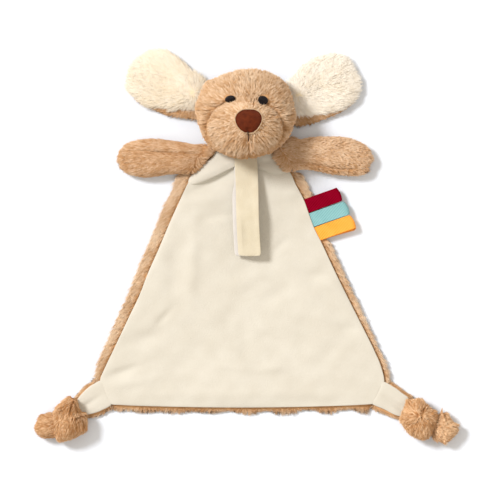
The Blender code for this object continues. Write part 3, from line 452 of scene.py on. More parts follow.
def cloth_look(name, deep, pale, patch, grain, bump, sheen=0.2, rough=0.9):
    """Cloth with soft patches of tone and a fine raised grain, their sizes in millimetres."""
    look = new_look(name, {
        "Roughness": rough, "Specular IOR Level": 0.12, "Sheen Weight": sheen, "Sheen Roughness": 0.5,
    })
    nodes, links = look.node_tree.nodes, look.node_tree.links
    spot = nodes.new("ShaderNodeTexCoord")
    patches, grains = nodes.new("ShaderNodeTexNoise"), nodes.new("ShaderNodeTexNoise")
    for noise, size, detail in ((patches, patch, 3), (grains, grain, 2)):
        noise.inputs["Scale"].default_value, noise.inputs["Detail"].default_value = 1 / (size * mm), detail
        links.new(spot.outputs["Object"], noise.inputs["Vector"])
    spread = nodes.new("ShaderNodeMapRange")
    spread.inputs["From Min"].default_value, spread.inputs["From Max"].default_value = 0.3, 0.7
    links.new(patches.outputs["Fac"], spread.inputs["Value"])
    colour = mixed(look, spread.outputs["Result"], deep, pale)
    links.new(colour, nodes["Principled BSDF"].inputs["Base Color"])
    raise_grain(look, grains.outputs["Fac"], bump, 0.0004)
    return look


tan_skin = cloth_look("tan_knit", (0.6, 0.34, 0.16), (0.68, 0.4, 0.2), patch=5, grain=0.8, bump=0.5)
tan_pile = pile_look(
    "tan_pile", ((0.4, 0.16, 0.045), (0.74, 0.43, 0.205)), ((0.57, 0.33, 0.155), (0.91, 0.74, 0.56))
)

back_points = (
    (-46, 48), (-49, 38), (-54, 29), (-60.5, 13), (-68, -5), (-75, -22), (-82, -39), (-90, -57),
    (-97, -73), (-101, -83), (-103, -91), (-103.5, -97), (-100, -105), (-94, -110.6), (-84, -111.7),
    (-60, -112.2), (-30, -112.8), (0, -113), (30, -112.6), (55, -112.1), (76, -111.6), (85, -110.6),
    (92, -105.5), (96.5, -97), (96, -90), (93.5, -82), (87.5, -70), (77, -47), (67, -25.5), (59, -8),
    (51, 11), (44, 30), (38.5, 43), (35.5, 48.5), (29, 50.5), (19, 64), (0, 66), (-20, 66), (-27, 60),
    (-38, 50.5),
)
back_outline = drawn_in(closed_curve(back_points, 320), -2.0 * mm)
back_pad = Pad(back_outline, (-3.8, -35), edge=1.9, rise=0.9, drop=1.1, full=8, low_full=8, floor=0.0005)
back_skin = closed_skin("plush_back", back_pad.grid(30), tan_skin)
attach(back_skin, "blanket")
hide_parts("back_panel")


front_points = (
    (-37.8, 49.6), (-41.5, 43.5), (-46.5, 33), (-54, 16.5), (-62, -2.5), (-69.3, -19), (-75.5, -35),
    (-82, -48.5), (-90, -65.5), (-94.5, -75), (-99.5, -85.5), (-103, -94.2), (-101, -99), (-96.2, -110),
    (-88, -111.6), (-60, -112.6), (-20, -113.3), (20, -113.2), (60, -112.3), (84, -111.2), (88.6, -110),
    (93, -101), (96.2, -95), (93.6, -83.6), (89.8, -74.8), (85.6, -66), (64.4, -23.8), (52.5, 1.5),
    (46.7, 13.3), (39.9, 32), (34.3, 42.7), (30, 51.5), (24, 53.8), (12, 57), (0, 58), (-14, 57.5),
    (-28, 53.5),
)
front_outline = closed_curve(front_points, 320)
hem_start, hem_middle, hem_depth = -0.104, -0.107, 0.006  # y where the rim turns into the hem
rim_top = 0.052  # y of the shoulder seams, where the rim ends
tag_slope, tag_left, tag_top, tag_low = 0.45, 0.034, 0.0138, -0.021  # what the ribbon tags lie on


def at_hem(root):
    """One along the hem, and nought up the sides."""
    return ((hem_start - root[:, 1]) / hem_depth).clip(0, 1)


def under_ribbons(root, normal):
    """One where the ribbon tags lie on the rim."""
    rise = root[:, 1] - tag_slope * root[:, 0]
    return ((root[:, 0] > tag_left) & (rise < tag_top) & (rise > tag_low) & (normal[:, 2] > 0)) * 1.0


def rim_flow(root, normal):
    """Out over the edge, and along it towards the hem where the rim runs down a side."""
    way = off_edge(front_outline, root)[1]
    along = np.stack([way[:, 1] * np.sign(way[:, 0]), -np.abs(way[:, 0])], -1)
    side = (1 - at_hem(root))[:, None]
    flat = way * (1 - 0.55 * side) + along * 0.9 * side
    return np.concatenate([flat, np.full((len(root), 1), -0.05)], -1)


def rim_keep(root, normal):
    """Only the band that shows outside the front's seams."""
    off = off_edge(front_outline, root)[0]
    return np.where((off > 0.3 * mm) & (normal[:, 2] > -0.35) & (root[:, 1] < rim_top), 1.0, 0.0)


def rim_length(root, normal):
    """Cropped under the front's hem, in tufts below it, and pressed flat by the ribbon tags."""
    hem = at_hem(root)
    off = off_edge(front_outline, root)[0]
    tufts = (4.2 + 2.0 * drift(root, 0.018, 5)).clip(2.0, 6.4) * ((off / mm - 0.3) / 1.6).clip(0.3, 1)
    return np.where(under_ribbons(root, normal) > 0, 1.6, 5.2 * (1 - hem) + tufts * hem)


def rim_lay(root, normal):
    """Well over on top. On the edge it lies low up the sides, and stands out along the hem."""
    hem, level = at_hem(root), normal[:, 2].clip(0, 1)
    return (1 - hem) * (0.88 - 0.12 * level) + hem * (0.15 + 0.62 * level) + 0.4 * under_ribbons(root, normal)


def partings(places, size, seed):
    """One in the thin lines where soft waves cross nought, as between locks of pile."""
    return bell(drift(places, size, seed) / 0.16)


def rim_tone(root, normal):
    """Deeper beside the front's seam as painted shade, most of all beside the hem; paler over the rest of the
    hem's fringe as painted light; streaked aslant the way it is brushed.
    """
    off = off_edge(front_outline, root)[0]
    beside = bell((off - 0.4 * mm) / (1.1 * mm))
    aside, down = np.abs(root[:, 0]), -root[:, 1]
    slant = np.stack([(0.7 * aside + 0.71 * down) / 4, 0.71 * aside - 0.7 * down, root[:, 2] * 0.3], -1)
    tone = 0.78 + 0.12 * drift(root, 0.02, 3) - (0.34 - 0.14 * at_hem(root)) * partings(slant, 0.0065, 6)
    # Painted shade beside the front's seam, and painted light that pales the hem's fringe.
    return tone + 0.1 * at_hem(root) - (0.3 + 0.75 * at_hem(root)) * beside


rim_piles = [
    grow_pile(
        f"plush_back_{part}_pile", back_skin, locks, rim_length, rim_flow, tan_pile, rim_tone,
        keep=lambda root, normal: rim_keep(root, normal) * ((root[:, 1] < hem_middle) == (part == "hem")),
        seed=21, lay=rim_lay, width=0.34, clump=0.12, ruffle=0.05, mottle=0.12, **setting,
    )
    for part, locks, setting in (
        ("rim", 50000, {"spread": 0.9, "at_edge": 0.45}),
        ("hem", 60000, {
            "strands": 17, "spread": 1.3, "soften": 1.0, "upward": 2.5, "at_edge": 0.7, "stations": (0,),
        }),
    )
]
under_pile = grow_low_pile(
    "plush_back_under_pile", back_skin, 11500, lambda root, normal: np.tile([0.08, -1.0, 0], (len(root), 1)),
    tan_pile, lambda root, normal: 0.4 + 0.3 * drift(root, 0.03, 4), seed=22,
    keep=lambda root, normal: (off_edge(back_outline, root)[0] < -3 * mm) * 1.0,
)
for pile in (*rim_piles, under_pile):
    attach(pile, "blanket")


# The velour front: one cream panel of short-haired velour, sewn to the back along its sides and its
# hem. It lies in broad soft hollows, with a slanting fold under each shoulder.

velour_cream = cloth_look(
    "cream_velour", (0.6, 0.574, 0.502), (0.64, 0.618, 0.55), patch=14, grain=0.7, bump=0.6, sheen=0.3
)
dent_depth = 1.25
# Each dent: its middle's x and y, its half length and half width, its turn, and its share of depth.
front_dents = (
    (-23.5, 44.5, 17, 3.6, 25, 2.3), (-26, 33, 16, 5.5, 8, -1.3), (-22, 20.5, 11, 3, 8, 0.8),
    (-50, -15, 22, 7, 86, 1.3), (-38, -12, 26, 4.5, 87, -0.7), (-58, -50, 8, 2.6, 47, 0.8),
    (-72, -65, 15, 5.5, 15, 1.3), (-86, -88, 12, 2.7, 18, 1.4), (-82, -96, 18, 3.5, 10, -0.8),
    (-10, -85.4, 12, 2.6, -8, -0.45), (17, -86, 12, 2.6, 7, -0.45), (48, -21, 10, 4, -6, 1.3),
    (60, -28, 9, 3.5, -20, -0.5), (23, 0, 8, 3.4, 45, 0.9), (22, -34, 12, 5, 28, 0.7),
    (3, -23, 20, 5, 20, -0.7), (70, -58, 9, 4, -4, 0.8), (35, 30, 5, 8, 80, 0.8),
    (33, 37, 9, 3, 10, -0.7), (-12, -52, 10, 6, 60, 0.5), (-2, -62, 12, 5, 100, 0.5),
    (13, -58, 9, 4, 30, -0.4), (40, -63, 12, 7, 70, 0.6), (57, -76, 10, 6, 50, 0.5),
    (30, -90, 14, 6, 10, 0.4), (0, -104, 90, 4, 0, -0.5), (0, 59, 26, 4.5, 0, 1.6),
    (-31, -36, 9, 5, 130, 0.45), (-40, -80, 14, 8, 30, 0.4), (10, 16, 5, 14, 0, 0.4),
)


def front_relief(x, y, r):
    """The dents, each a soft bell along and across its own line, over two broad waves."""
    places = np.stack([x, y, np.zeros_like(x)], -1)
    height = 0.0006 * drift(places, 0.07, 7) + 0.0002 * drift(places, 0.016, 8)
    for at_x, at_y, long, wide, turn, depth in front_dents:
        way = math.cos(math.radians(turn)), math.sin(math.radians(turn))
        off_x, off_y = x / mm - at_x, y / mm - at_y
        along, across = off_x * way[0] + off_y * way[1], off_y * way[0] - off_x * way[1]
        height = height - dent_depth * depth * mm * bell(along / long, across / wide)
    return height


front_pad = Pad(
    front_outline, (-3.8, -35), edge=4.0, rise=2.3, drop=0.9, full=9, low_full=9, relief=front_relief,
    floor=0.0029, fade=40,
)
front_skin = closed_skin("velour_front", front_pad.grid(64), velour_cream)
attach(front_skin, "blanket")
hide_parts("front_panel")


# The yoke: a strip of the same velour between the arms and under the chin. Its lower edge is sewn
# over the top of the front in a shallow curve.

yoke_points = (
    (-24.5, 62), (-30, 58), (-36, 53), (-41, 46), (-39.5, 42.6), (-33, 43.6), (-25, 47.2), (-16, 51.4),
    (-9, 54.6), (0, 55.2), (7, 54), (12, 52.4), (17, 50.6), (21.5, 49.3), (26, 50.6), (28.6, 51.8),
    (24, 58), (19, 64), (10, 68), (0, 69), (-15, 69), (-21, 67),
)


def yoke_relief(x, y, r):
    """A roll that stands up along the seam on the left, and a gather beside the strap on the right."""
    left = 1.6 * bell(((x + 0.028) * 0.43 - (y - 0.0505) * 0.9) / 0.0042) * (x < 0)
    right = bell((y - 0.0585 - (x - 0.012) * 0.12) / 0.0025) * (x > 0)
    return 0.0009 * left - 0.0006 * right


yoke_pad = Pad(
    closed_curve(yoke_points, 160), (-3.8, 58.5), edge=4.6, rise=2.7, drop=1.2, full=3, low_full=6,
    relief=yoke_relief, floor=0.003,
)
yoke_skin = closed_skin("velour_yoke", yoke_pad.grid(24), velour_cream)
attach(yoke_skin, "blanket")
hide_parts("neck_yoke")


# The head: a tan plush shell, stuffed firmly, that lies on the back of the head. The pile is brushed
# away from the nose.

head_points = (
    (-7.8, 122.8), (-15.8, 120.3), (-23.8, 117.1), (-29.2, 114.5), (-32.4, 108.6), (-35.6, 101.1),
    (-36.7, 95.7), (-35.9, 90.4), (-33.5, 81.8), (-30.2, 73.8), (-26.6, 68.4), (-21.1, 64.7),
    (-13.1, 61.5), (-2.4, 60.3), (8.3, 60.9), (16.3, 63.1), (20.7, 66.3), (25.9, 71.1), (30.2, 76.4),
    (33, 83.4), (34.6, 89.3), (34, 95.2), (31.9, 104.3), (29.2, 111.2), (24.4, 117.1), (16.8, 120.9),
    (9.4, 123.3), (0.5, 123.9),
)
head_middle = (-1.1, 92.05)
muzzle_middle, muzzle_reach = at(-1.6, 81.6), at(24.6, 19.6)


def head_relief(x, y, r):
    """Full cheeks and brow, a crease on the left, and the dip where the muzzle's gusset is sewn in."""
    off = (np.stack([x, y], -1) - muzzle_middle) / muzzle_reach
    out = np.linalg.norm(off, axis=-1)
    cheeks = bell((x + 0.029) / 0.011, (y - 0.083) / 0.014)
    cheeks = cheeks + bell((x - 0.026) / 0.011, (y - 0.083) / 0.014)
    brow = bell((x + 0.001) / 0.022, (y - 0.112) / 0.01)
    between_eyes = 0.6 * bell((x + 0.001) / 0.009) * (y > 0.09)
    seam = bell((out - 1.02) / 0.08) * (1 - between_eyes)
    left_crease = bell((y - 0.0965 - (x + 0.027) * 0.18) / 0.0015, (x + 0.026) / 0.009)
    return 0.0022 * cheeks + 0.0009 * brow - 0.0026 * seam - 0.0018 * left_crease


head_pad = Pad(
    drawn_in(closed_curve(head_points, 200), 2.7 * mm), head_middle, edge=18, rise=24.4, drop=17.2, full=2.25,
    low_full=2.9, relief=head_relief,
)
head_skin = closed_skin("head_plush", head_pad.grid(32), tan_skin)
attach(head_skin, "head")
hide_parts("head_cover")

batting_outline = drawn_in(closed_curve(head_points, 72), 6 * mm)
polyester = cloth_look(
    "polyester_fibre", (0.76, 0.76, 0.74), (0.84, 0.84, 0.82), patch=6, grain=0.5, bump=0.8
)
head_batting = closed_skin(
    "head_stuffing", Pad(batting_outline, head_middle, edge=18, rise=20.5, drop=14, floor=0.0045).grid(12),
    polyester,
)
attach(head_batting, "head")
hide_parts("head_filling")

# Each eye: its middle's x and y, its length and width, and its turn.
eye_places = {"left": (-11.8, 102.0, 7.2, 4.9, 14), "right": (11.2, 101.1, 7.2, 6.1, -22)}
nose_tip = at(1.2, 86.3)


def fanned(root, start, stretch):
    """Places as seen from a start: their bearing from it across, and their distance shrunk."""
    off = root[:, :2] - start
    bearing = np.arctan2(off[:, 1], off[:, 0]) * 0.02
    return np.stack([bearing, np.linalg.norm(off, axis=1) / stretch, root[:, 2] * 0.5], -1)


def seam_tone(root):
    """The depth of tone in the seam round the muzzle, a painted shade: most at its sides, none between the
    eyes.
    """
    off = (root[:, :2] - muzzle_middle) / muzzle_reach
    ring = bell((np.linalg.norm(off, axis=1) - 1.0) / 0.07)
    return ring * (1 - bell(off[:, 0] / 0.5) * (off[:, 1] > 0))


def face_clear(root):
    """Nought under an eye and one away from both."""
    clear = np.ones(len(root))
    for x, y, long, wide, turn in eye_places.values():
        off = root[:, :2] - at(x, y)
        turned = math.radians(turn)
        along = off @ np.array((math.cos(turned), math.sin(turned))) / (long * 0.5 * mm)
        aside = off @ np.array((-math.sin(turned), math.cos(turned))) / (wide * 0.56 * mm)
        clear = np.minimum(clear, (np.hypot(along, aside) > 1) | (root[:, 2] < 0.02))
    return clear


def head_keep(root, normal):
    """All of the head but the eyes, the part that the muzzle covers, and half of the underside."""
    out = np.linalg.norm((root[:, :2] - muzzle_middle) / muzzle_reach, axis=1)
    covered = (out < 0.86) & (root[:, 2] > 0.03)
    return face_clear(root) * ~covered * np.where(normal[:, 2] < -0.6, 0.45, 1.0)


def head_flow(root, normal):
    """Away from the bridge of the nose, all round the head."""
    return root - np.array((nose_tip[0], nose_tip[1] + 0.002, 0.046))


def head_tone(root, normal):
    """Pale on the brow, deeper on both sides and in the muzzle's seam, streaked away from the nose. The
    deeper right side and seam are painted shade.
    """
    right = ((root[:, 0] - 0.012) / 0.02).clip(0, 1)
    left = ((-0.018 - root[:, 0]) / 0.014).clip(0, 1)
    mottle = (0.1 + 0.1 * right) * drift(root, 0.011, 31)
    mottle = mottle - 0.36 * partings(fanned(root, nose_tip, 1.5), 0.0075, 37)
    # The right side's deeper tone and the seam's are painted shade.
    return 0.62 - 0.19 * right - 0.27 * left + mottle - 0.5 * seam_tone(root)


def head_length(root, normal):
    """Shorter on the brow round the eyes, pressed short underneath and worn short by the strap."""
    long = np.where(normal[:, 2] < -0.5, 3.2, 4.9) - 1.6 * seam_tone(root)
    long = long - 1.2 * partings(fanned(root, nose_tip, 1.5), 0.0075, 37)
    for x, y, *_ in eye_places.values():
        off = np.linalg.norm(root[:, :2] - at(x, y), axis=1)
        long = long - 2.4 * bell(off / (6 * mm)) * (root[:, 2] > 0.02)
    beside_strap = bell(np.linalg.norm(root - at(-3.8, 61, 9.6), axis=1) / (13 * mm))
    return long * (1 - 0.75 * beside_strap)


head_pile = grow_pile(
    "head_pile", head_skin, 8100, head_length, head_flow, tan_pile, tone=head_tone, seed=31,
    keep=lambda root, normal: head_keep(root, normal) * (normal[:, 2] > 0.25), lay=0.6,
)
head_low_pile = grow_pile(
    "head_low_pile", head_skin, 4700, head_length, head_flow, tan_pile, tone=head_tone, seed=32, strands=4,
    keep=lambda root, normal: head_keep(root, normal) * (normal[:, 2] <= 0.25), width=0.68,
    lay=lambda root, normal: np.where(normal[:, 2] < -0.5, 0.9, 0.64),
)
for pile in (head_pile, head_low_pile):
    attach(pile, "head")


# The muzzle: a stuffed plush gusset let into the face. Its pile parts at the mouth and fans out from
# the nose over the chin.

muzzle_turn = around(140)
muzzle_outline = muzzle_middle + np.stack([np.cos(muzzle_turn), np.sin(muzzle_turn)], -1) * muzzle_reach


def muzzle_relief(x, y, r):
    """A shallow parting from the nose down to the chin."""
    line = bell((x - nose_tip[0]) / 0.0016) * (y < 0.082) * ((y - 0.064) / 0.008).clip(0, 1)
    return -0.0011 * line


muzzle_pad = Pad(
    muzzle_outline, muzzle_middle / mm, edge=33, rise=19.2, drop=10, full=2.15, low_full=2.2,
    relief=muzzle_relief,
)
muzzle_skin = closed_skin("muzzle_plush", muzzle_pad.grid(36), tan_skin)
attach(muzzle_skin, "head")
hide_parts("muzzle")

nose_points = (
    (9.1, 1.6), (8.7, 4.0), (7.3, 6.2), (4.3, 7.9), (0, 8.2), (-3.9, 7.9), (-6.2, 6.7), (-7.9, 5.2),
    (-9.1, 2.8), (-9.1, 0), (-7.9, -3.2), (-5.6, -5.9), (-2.8, -7.7), (-0.7, -7.9), (2.0, -7.9),
    (4.3, -6.8), (6.6, -4.5), (8.4, -1.3),
)
nose_outline = closed_curve(nose_points, 120) + nose_tip


def muzzle_keep(root, normal):
    """The gusset's upper side, outside the nose."""
    off = (root[:, :2] - nose_tip) / at(8.6, 7.4)
    return ((np.linalg.norm(off, axis=1) > 1) & (normal[:, 2] > -0.25)) * face_clear(root)


def muzzle_flow(root, normal):
    """Away from the nose, and below it sideways out of the parting too."""
    way = root - np.array((*(nose_tip + (0, 0.002)), 0.05))
    below = bell((root[:, 0] - nose_tip[0]) / 0.006) * (root[:, 1] < 0.081)
    way[:, 0] += np.sign(root[:, 0] - nose_tip[0]) * below * 0.012
    return way


def muzzle_length(root, normal):
    """Short beside the nose and in the seam round the gusset, and longer over the chin."""
    out = np.linalg.norm((root[:, :2] - nose_tip) / (10 * mm), axis=1)
    parted = partings(fanned(root, nose_tip, 1.5), 0.007, 38)
    return (2.4 + 2.4 * (out - 0.8).clip(0, 1)) * (1 - 0.25 * parted) - 1.2 * seam_tone(root)


def muzzle_tone(root, normal):
    """Palest over the nose; deeper to the right, in the seam and under the chin, those three as painted
    shade.
    """
    right = ((root[:, 0] - 0.004) / 0.018).clip(0, 1)
    above = bell((root[:, 1] - 0.0985) / 0.004) * 0.2
    chin = bell((root[:, 0] - 0.001) / 0.008, (root[:, 1] - 0.0625) / 0.0035)
    beside = bell(off_edge(nose_outline, root)[0] / (1.6 * mm)) * 0.4
    # The deeper tone to the right, in the seam and under the chin is painted shade.
    tone = 0.57 + above + beside - 0.04 * right - 0.5 * seam_tone(root) - 0.3 * chin
    return tone + 0.12 * drift(root, 0.009, 33) - 0.34 * partings(fanned(root, nose_tip, 1.5), 0.007, 38)


muzzle_pile = grow_pile(
    "muzzle_pile", muzzle_skin, 3500, muzzle_length, muzzle_flow, tan_pile, keep=muzzle_keep, lay=0.62,
    tone=muzzle_tone, seed=33,
)
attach(muzzle_pile, "head")


# The nose: a padded patch of brown satin weave, sewn over the top of the muzzle. A fine pale edge
# of stitches holds it.

nose_satin = cloth_look(
    "brown_satin", (0.08, 0.012, 0.002), (0.125, 0.021, 0.004), patch=3, grain=0.35, bump=0.7, sheen=0.02,
    rough=0.7,
)
nose_lift, nose_dome, nose_sunk = 1.6, 1.7, 1.5  # mm over the muzzle's skin, and under it


def nose_grid(rings):
    """A patch that follows the muzzle, lifted over its skin: its own dome falls to the outline."""
    r = rings_out(rings)
    flat = nose_tip + (nose_outline - nose_tip)[None] * r[..., None]
    under = muzzle_pad.height_at(flat[..., 0], flat[..., 1])
    high = under + (nose_lift + nose_dome * np.sqrt((1 - r**2.6).clip(0))) * mm
    low = under - nose_sunk * mm
    return np.concatenate([np.dstack([flat, high]), np.dstack([flat, low])[::-1]])


nose = closed_skin("nose_patch", nose_grid(16), nose_satin)
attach(nose, "head")
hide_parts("nose")

edge_thread = cloth_look(
    "pale_thread", (0.5, 0.33, 0.19), (0.66, 0.48, 0.31), patch=1, grain=0.25, bump=0.6, sheen=0.1,
    rough=0.7,
)
thread_brown = cloth_look(
    "brown_thread", (0.03, 0.013, 0.008), (0.055, 0.026, 0.016), patch=1, grain=0.25, bump=0.6, sheen=0.1,
    rough=0.6,
)


def thread(name, route, radius, look, twist=0.18):
    """A thread along a route: a circle square to it, swollen and drawn in by turns along the way."""
    ahead = unit(np.gradient(route, axis=0))
    square = unit(np.cross(ahead, [0.0, 0.0, 1.0]))
    over = np.cross(square, ahead)
    round_it = around(8)
    along = np.linspace(0, 1, len(route))[:, None]
    reach = radius * (1 + twist * np.sin(round_it * 2 + along * len(route) * 0.9))
    reach = reach * np.sqrt((1 - np.abs(2 * along - 1) ** 12).clip(0))
    across, up = (np.cos(round_it) * reach)[..., None], (np.sin(round_it) * reach)[..., None]
    return closed_skin(name, route[:, None] + (square[:, None] * across + over[:, None] * up), look)


edge_way = drawn_in(nose_outline, -0.35 * mm)
edge_way = np.vstack([edge_way, edge_way[:4]])
edge_rise = muzzle_pad.height_at(edge_way[:, 0], edge_way[:, 1]) + 2.3 * mm
edge_way = np.column_stack([edge_way, edge_rise])
nose_edge = thread("nose_edge_stitches", edge_way, 0.34 * mm, edge_thread, twist=0.3)
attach(nose_edge, "head")

stitch_steps = np.linspace(0, 1, 61)
mouth_y = (79.6 - 7.2 * stitch_steps) * mm
mouth_x = (0.75 + 0.65 * stitch_steps - 0.25 * np.sin(stitch_steps * 9)) * mm
mouth_lift = 2.2 + 1.0 * stitch_steps + 0.35 * np.abs(np.sin(stitch_steps * 9.4))
mouth_z = muzzle_pad.height_at(mouth_x, mouth_y) + mouth_lift * mm
mouth = thread("mouth_stitch", np.stack([mouth_x, mouth_y, mouth_z], -1), 0.42 * mm, thread_brown)
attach(mouth, "head")
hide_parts("mouth_stitch")


# The eyes: two slanting ovals of black satin stitch, worked through the plush of the head.

eye_thread = cloth_look(
    "black_thread", (0.006, 0.005, 0.006), (0.02, 0.016, 0.018), patch=0.8, grain=0.3, bump=0.6, sheen=0.05,
    rough=0.5,
)


def eye_grid(x, y, long, wide, turn):
    """A low dome on the head, ribbed by rows of thread that lie across the oval."""
    r, round_it = rings_out(14), around(96)
    along, out = np.cos(round_it) * r * long / 2, np.sin(round_it) * r * wide / 2
    east, north = math.cos(math.radians(turn)), math.sin(math.radians(turn))
    flat = np.stack([x + along * east - out * north, y + along * north + out * east], -1) * mm
    under = head_pad.height_at(flat[..., 0], flat[..., 1])
    ribs = 0.12 * np.cos(along * 2 * math.pi / 0.55)
    high = under + (2.1 + 1.0 * np.sqrt((1 - r**2.4).clip(0)) + ribs * (1 - r**8)) * mm
    low = under - 1.0 * mm
    return np.concatenate([np.dstack([flat, high]), np.dstack([flat, low])[::-1]])


for side, place in eye_places.items():
    eye = closed_skin(f"eye_{side}_stitches", eye_grid(*place), eye_thread)
    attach(eye, "head")
    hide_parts(f"eye_{side}")


# The ears: each is a leaf of long cream plush sewn to a leaf of short tan plush, flat and unstuffed.
# The cream pile is brushed out from the root.

cream_skin = cloth_look("cream_knit", (0.86, 0.74, 0.52), (0.9, 0.8, 0.58), patch=6, grain=0.8, bump=0.5)
cream_pile = pile_look(
    "cream_pile", ((0.85, 0.71, 0.49), (0.93, 0.85, 0.7)), ((0.86, 0.78, 0.64), (0.965, 0.94, 0.895))
)
# Each ear: the outlines of its front and its back, its middle, and its root.
ear_shapes = {
    "left": (
        ((-84.5, 113.7), (-84.2, 108.5), (-80.9, 104.6), (-76.9, 101.4), (-70.8, 96.6), (-66.8, 95.3),
         (-59.5, 95), (-56.7, 94.8), (-52.5, 93.2), (-49, 93.4), (-42.7, 94.8), (-33, 95.4), (-27.5, 98),
         (-26, 108), (-29, 116), (-32.6, 120.2), (-36.7, 122.7), (-40.7, 126.7), (-44.8, 130.7),
         (-50.8, 135.6), (-54.7, 137.6), (-60.8, 138.4), (-67.6, 137.6), (-72.8, 134.8), (-80.9, 127.9),
         (-83, 121)),
        ((-83.5, 113.7), (-80.5, 105), (-76, 100.5), (-70, 97), (-64.4, 95), (-57, 91.6), (-50, 90.2),
         (-43, 89.4), (-36.4, 88.7), (-30, 92), (-27, 104), (-30, 115), (-36.7, 120.5), (-44.8, 128.7),
         (-50.8, 133.6), (-60.8, 136.4), (-72, 133), (-80, 125)),
        (-58, 114.5), (-38, 107),
    ),
    "right": (
        ((28, 115.3), (31.9, 119.9), (34.7, 124.4), (38.5, 127.9), (43.4, 131.5), (49, 133.9),
         (53.9, 135.2), (58.8, 135.6), (64.8, 134.9), (68.6, 133.1), (71.4, 130.3), (74.2, 125.5),
         (76.3, 121.6), (78.8, 116.3), (79.4, 110), (77.7, 105.5), (76, 101.5), (73.5, 98.5),
         (69.5, 96.2), (65.1, 93.2), (54.6, 91.2), (46.7, 90.6), (40, 90.4), (34.7, 90.8), (28, 92),
         (25, 100), (25, 108)),
        ((29, 114), (34.7, 122.4), (43.4, 129.5), (49, 132), (58.8, 133.6), (68, 131), (74, 121.6),
         (76.5, 112), (74, 101), (68, 95), (62.8, 91.8), (54.6, 88.9), (46.7, 86.1), (40.3, 84.5),
         (33.5, 84.2), (28, 88), (26, 100)),
        (56, 110.5), (36, 105),
    ),
}
# Each ear's tone. The right ear's is raised to the palest, a painted light against the shade that falls on
# that ear.
ear_tones_with_painted_light = {"left": 0.5, "right": 1.0}
for side, (front_edge, back_edge, ear_middle, ear_root) in ear_shapes.items():
    outwards = -1 if side == "left" else 1
    root_point = at(*ear_root, 8)
    cream_outline = drawn_in(closed_curve(front_edge, 150), 2.8 * mm)

    def ear_relief(x, y, r):
        """A shallow hollow towards the root."""
        hollow_x, hollow_y = ear_root[0] + outwards * 17, ear_root[1] + 4
        return -mm * bell((x / mm - hollow_x) / 8, (y / mm - hollow_y) / 6)

    def ear_flow(root, normal):
        """Away from the ear's root, with a lean to its tip."""
        way = unit(root - root_point) + np.array((0.35 * outwards, 0.0, 0.0))
        way[:, 2] -= 0.9 * (1 - normal[:, 2].clip(0, 1))
        return way

    def ear_back_keep(root, normal):
        """Only the band that shows below the cream leaf."""
        low = root[:, 1] < (ear_middle[1] - 11) * mm
        return low & (off_edge(cream_outline, root)[0] > -1.5 * mm) & (normal[:, 2] > -0.6)

    def ear_tone(root, normal):
        """Warmest and deepest in the hollow as painted shade, and palest round the edge."""
        hollow = at(ear_root[0] + outwards * 19, ear_root[1] + 5)
        # A warm painted shade in the ear's hollow.
        hollow_shade = bell(np.linalg.norm(root[:, :2] - hollow, axis=1) / 0.017)
        streaks = partings(fanned(root, root_point[:2], 4), 0.008, 44)
        return ear_tones_with_painted_light[side] - 0.35 * hollow_shade - 0.25 * streaks + 0.08 * drift(root, 0.014, 43)

    back_leaf = Pad(
        drawn_in(closed_curve(back_edge, 150), 1.7 * mm), ear_middle, edge=2.4, rise=1.4, drop=1.8, full=5,
        low_full=5,
    )
    ear_back = closed_skin(f"ear_{side}_tan_leaf", back_leaf.grid(20), tan_skin)
    ear_back_pile = grow_pile(
        f"ear_{side}_tan_pile", ear_back, 7400, 3.6, ear_flow, tan_pile,
        lambda root, normal: 0.16 + 0.15 * drift(root, 0.02, 41), ear_back_keep, seed=41, lay=0.7, width=0.44,
        strands=4, ruffle=0.05,
    )
    ear_low_pile = grow_low_pile(
        f"ear_{side}_low_pile", ear_back, 2500, ear_flow, tan_pile,
        lambda root, normal: 0.5 + 0.25 * drift(root, 0.02, 42), seed=42,
    )
    front_leaf = Pad(
        cream_outline, ear_middle, edge=4.8, rise=4.2, drop=1.0, full=2.5, low_full=5, relief=ear_relief,
        floor=0.0039,
    )
    ear_front = closed_skin(f"ear_{side}_cream_leaf", front_leaf.grid(24), cream_skin)
    ear_front_pile = grow_pile(
        f"ear_{side}_cream_pile", ear_front, 4400, 6.2, ear_flow, cream_pile, ear_tone,
        keep=lambda root, normal: np.where(normal[:, 2] > -0.35, 1.0, 0.0), seed=43, lay=0.9, spread=1.8,
        clump=0.06, ruffle=0.035, mottle=0.08, lit_below=True,
        soften=lambda root, normal: np.where(off_edge(cream_outline, root)[0] > -4 * mm, 0.6, 0.98),
    )
    for piece, colour in (
        (ear_back, "plush_tan"), (ear_back_pile, "plush_tan"), (ear_low_pile, "plush_tan"),
        (ear_front, "plush_cream"), (ear_front_pile, "plush_cream"),
    ):
        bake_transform(piece)
    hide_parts(f"ear_{side}_back")
    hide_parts(f"ear_{side}_front")


# The arms: tubes of tan plush, lightly stuffed and sewn into the shoulder seams. Each has a soft
# crease along it, and its pile is brushed towards the paw.

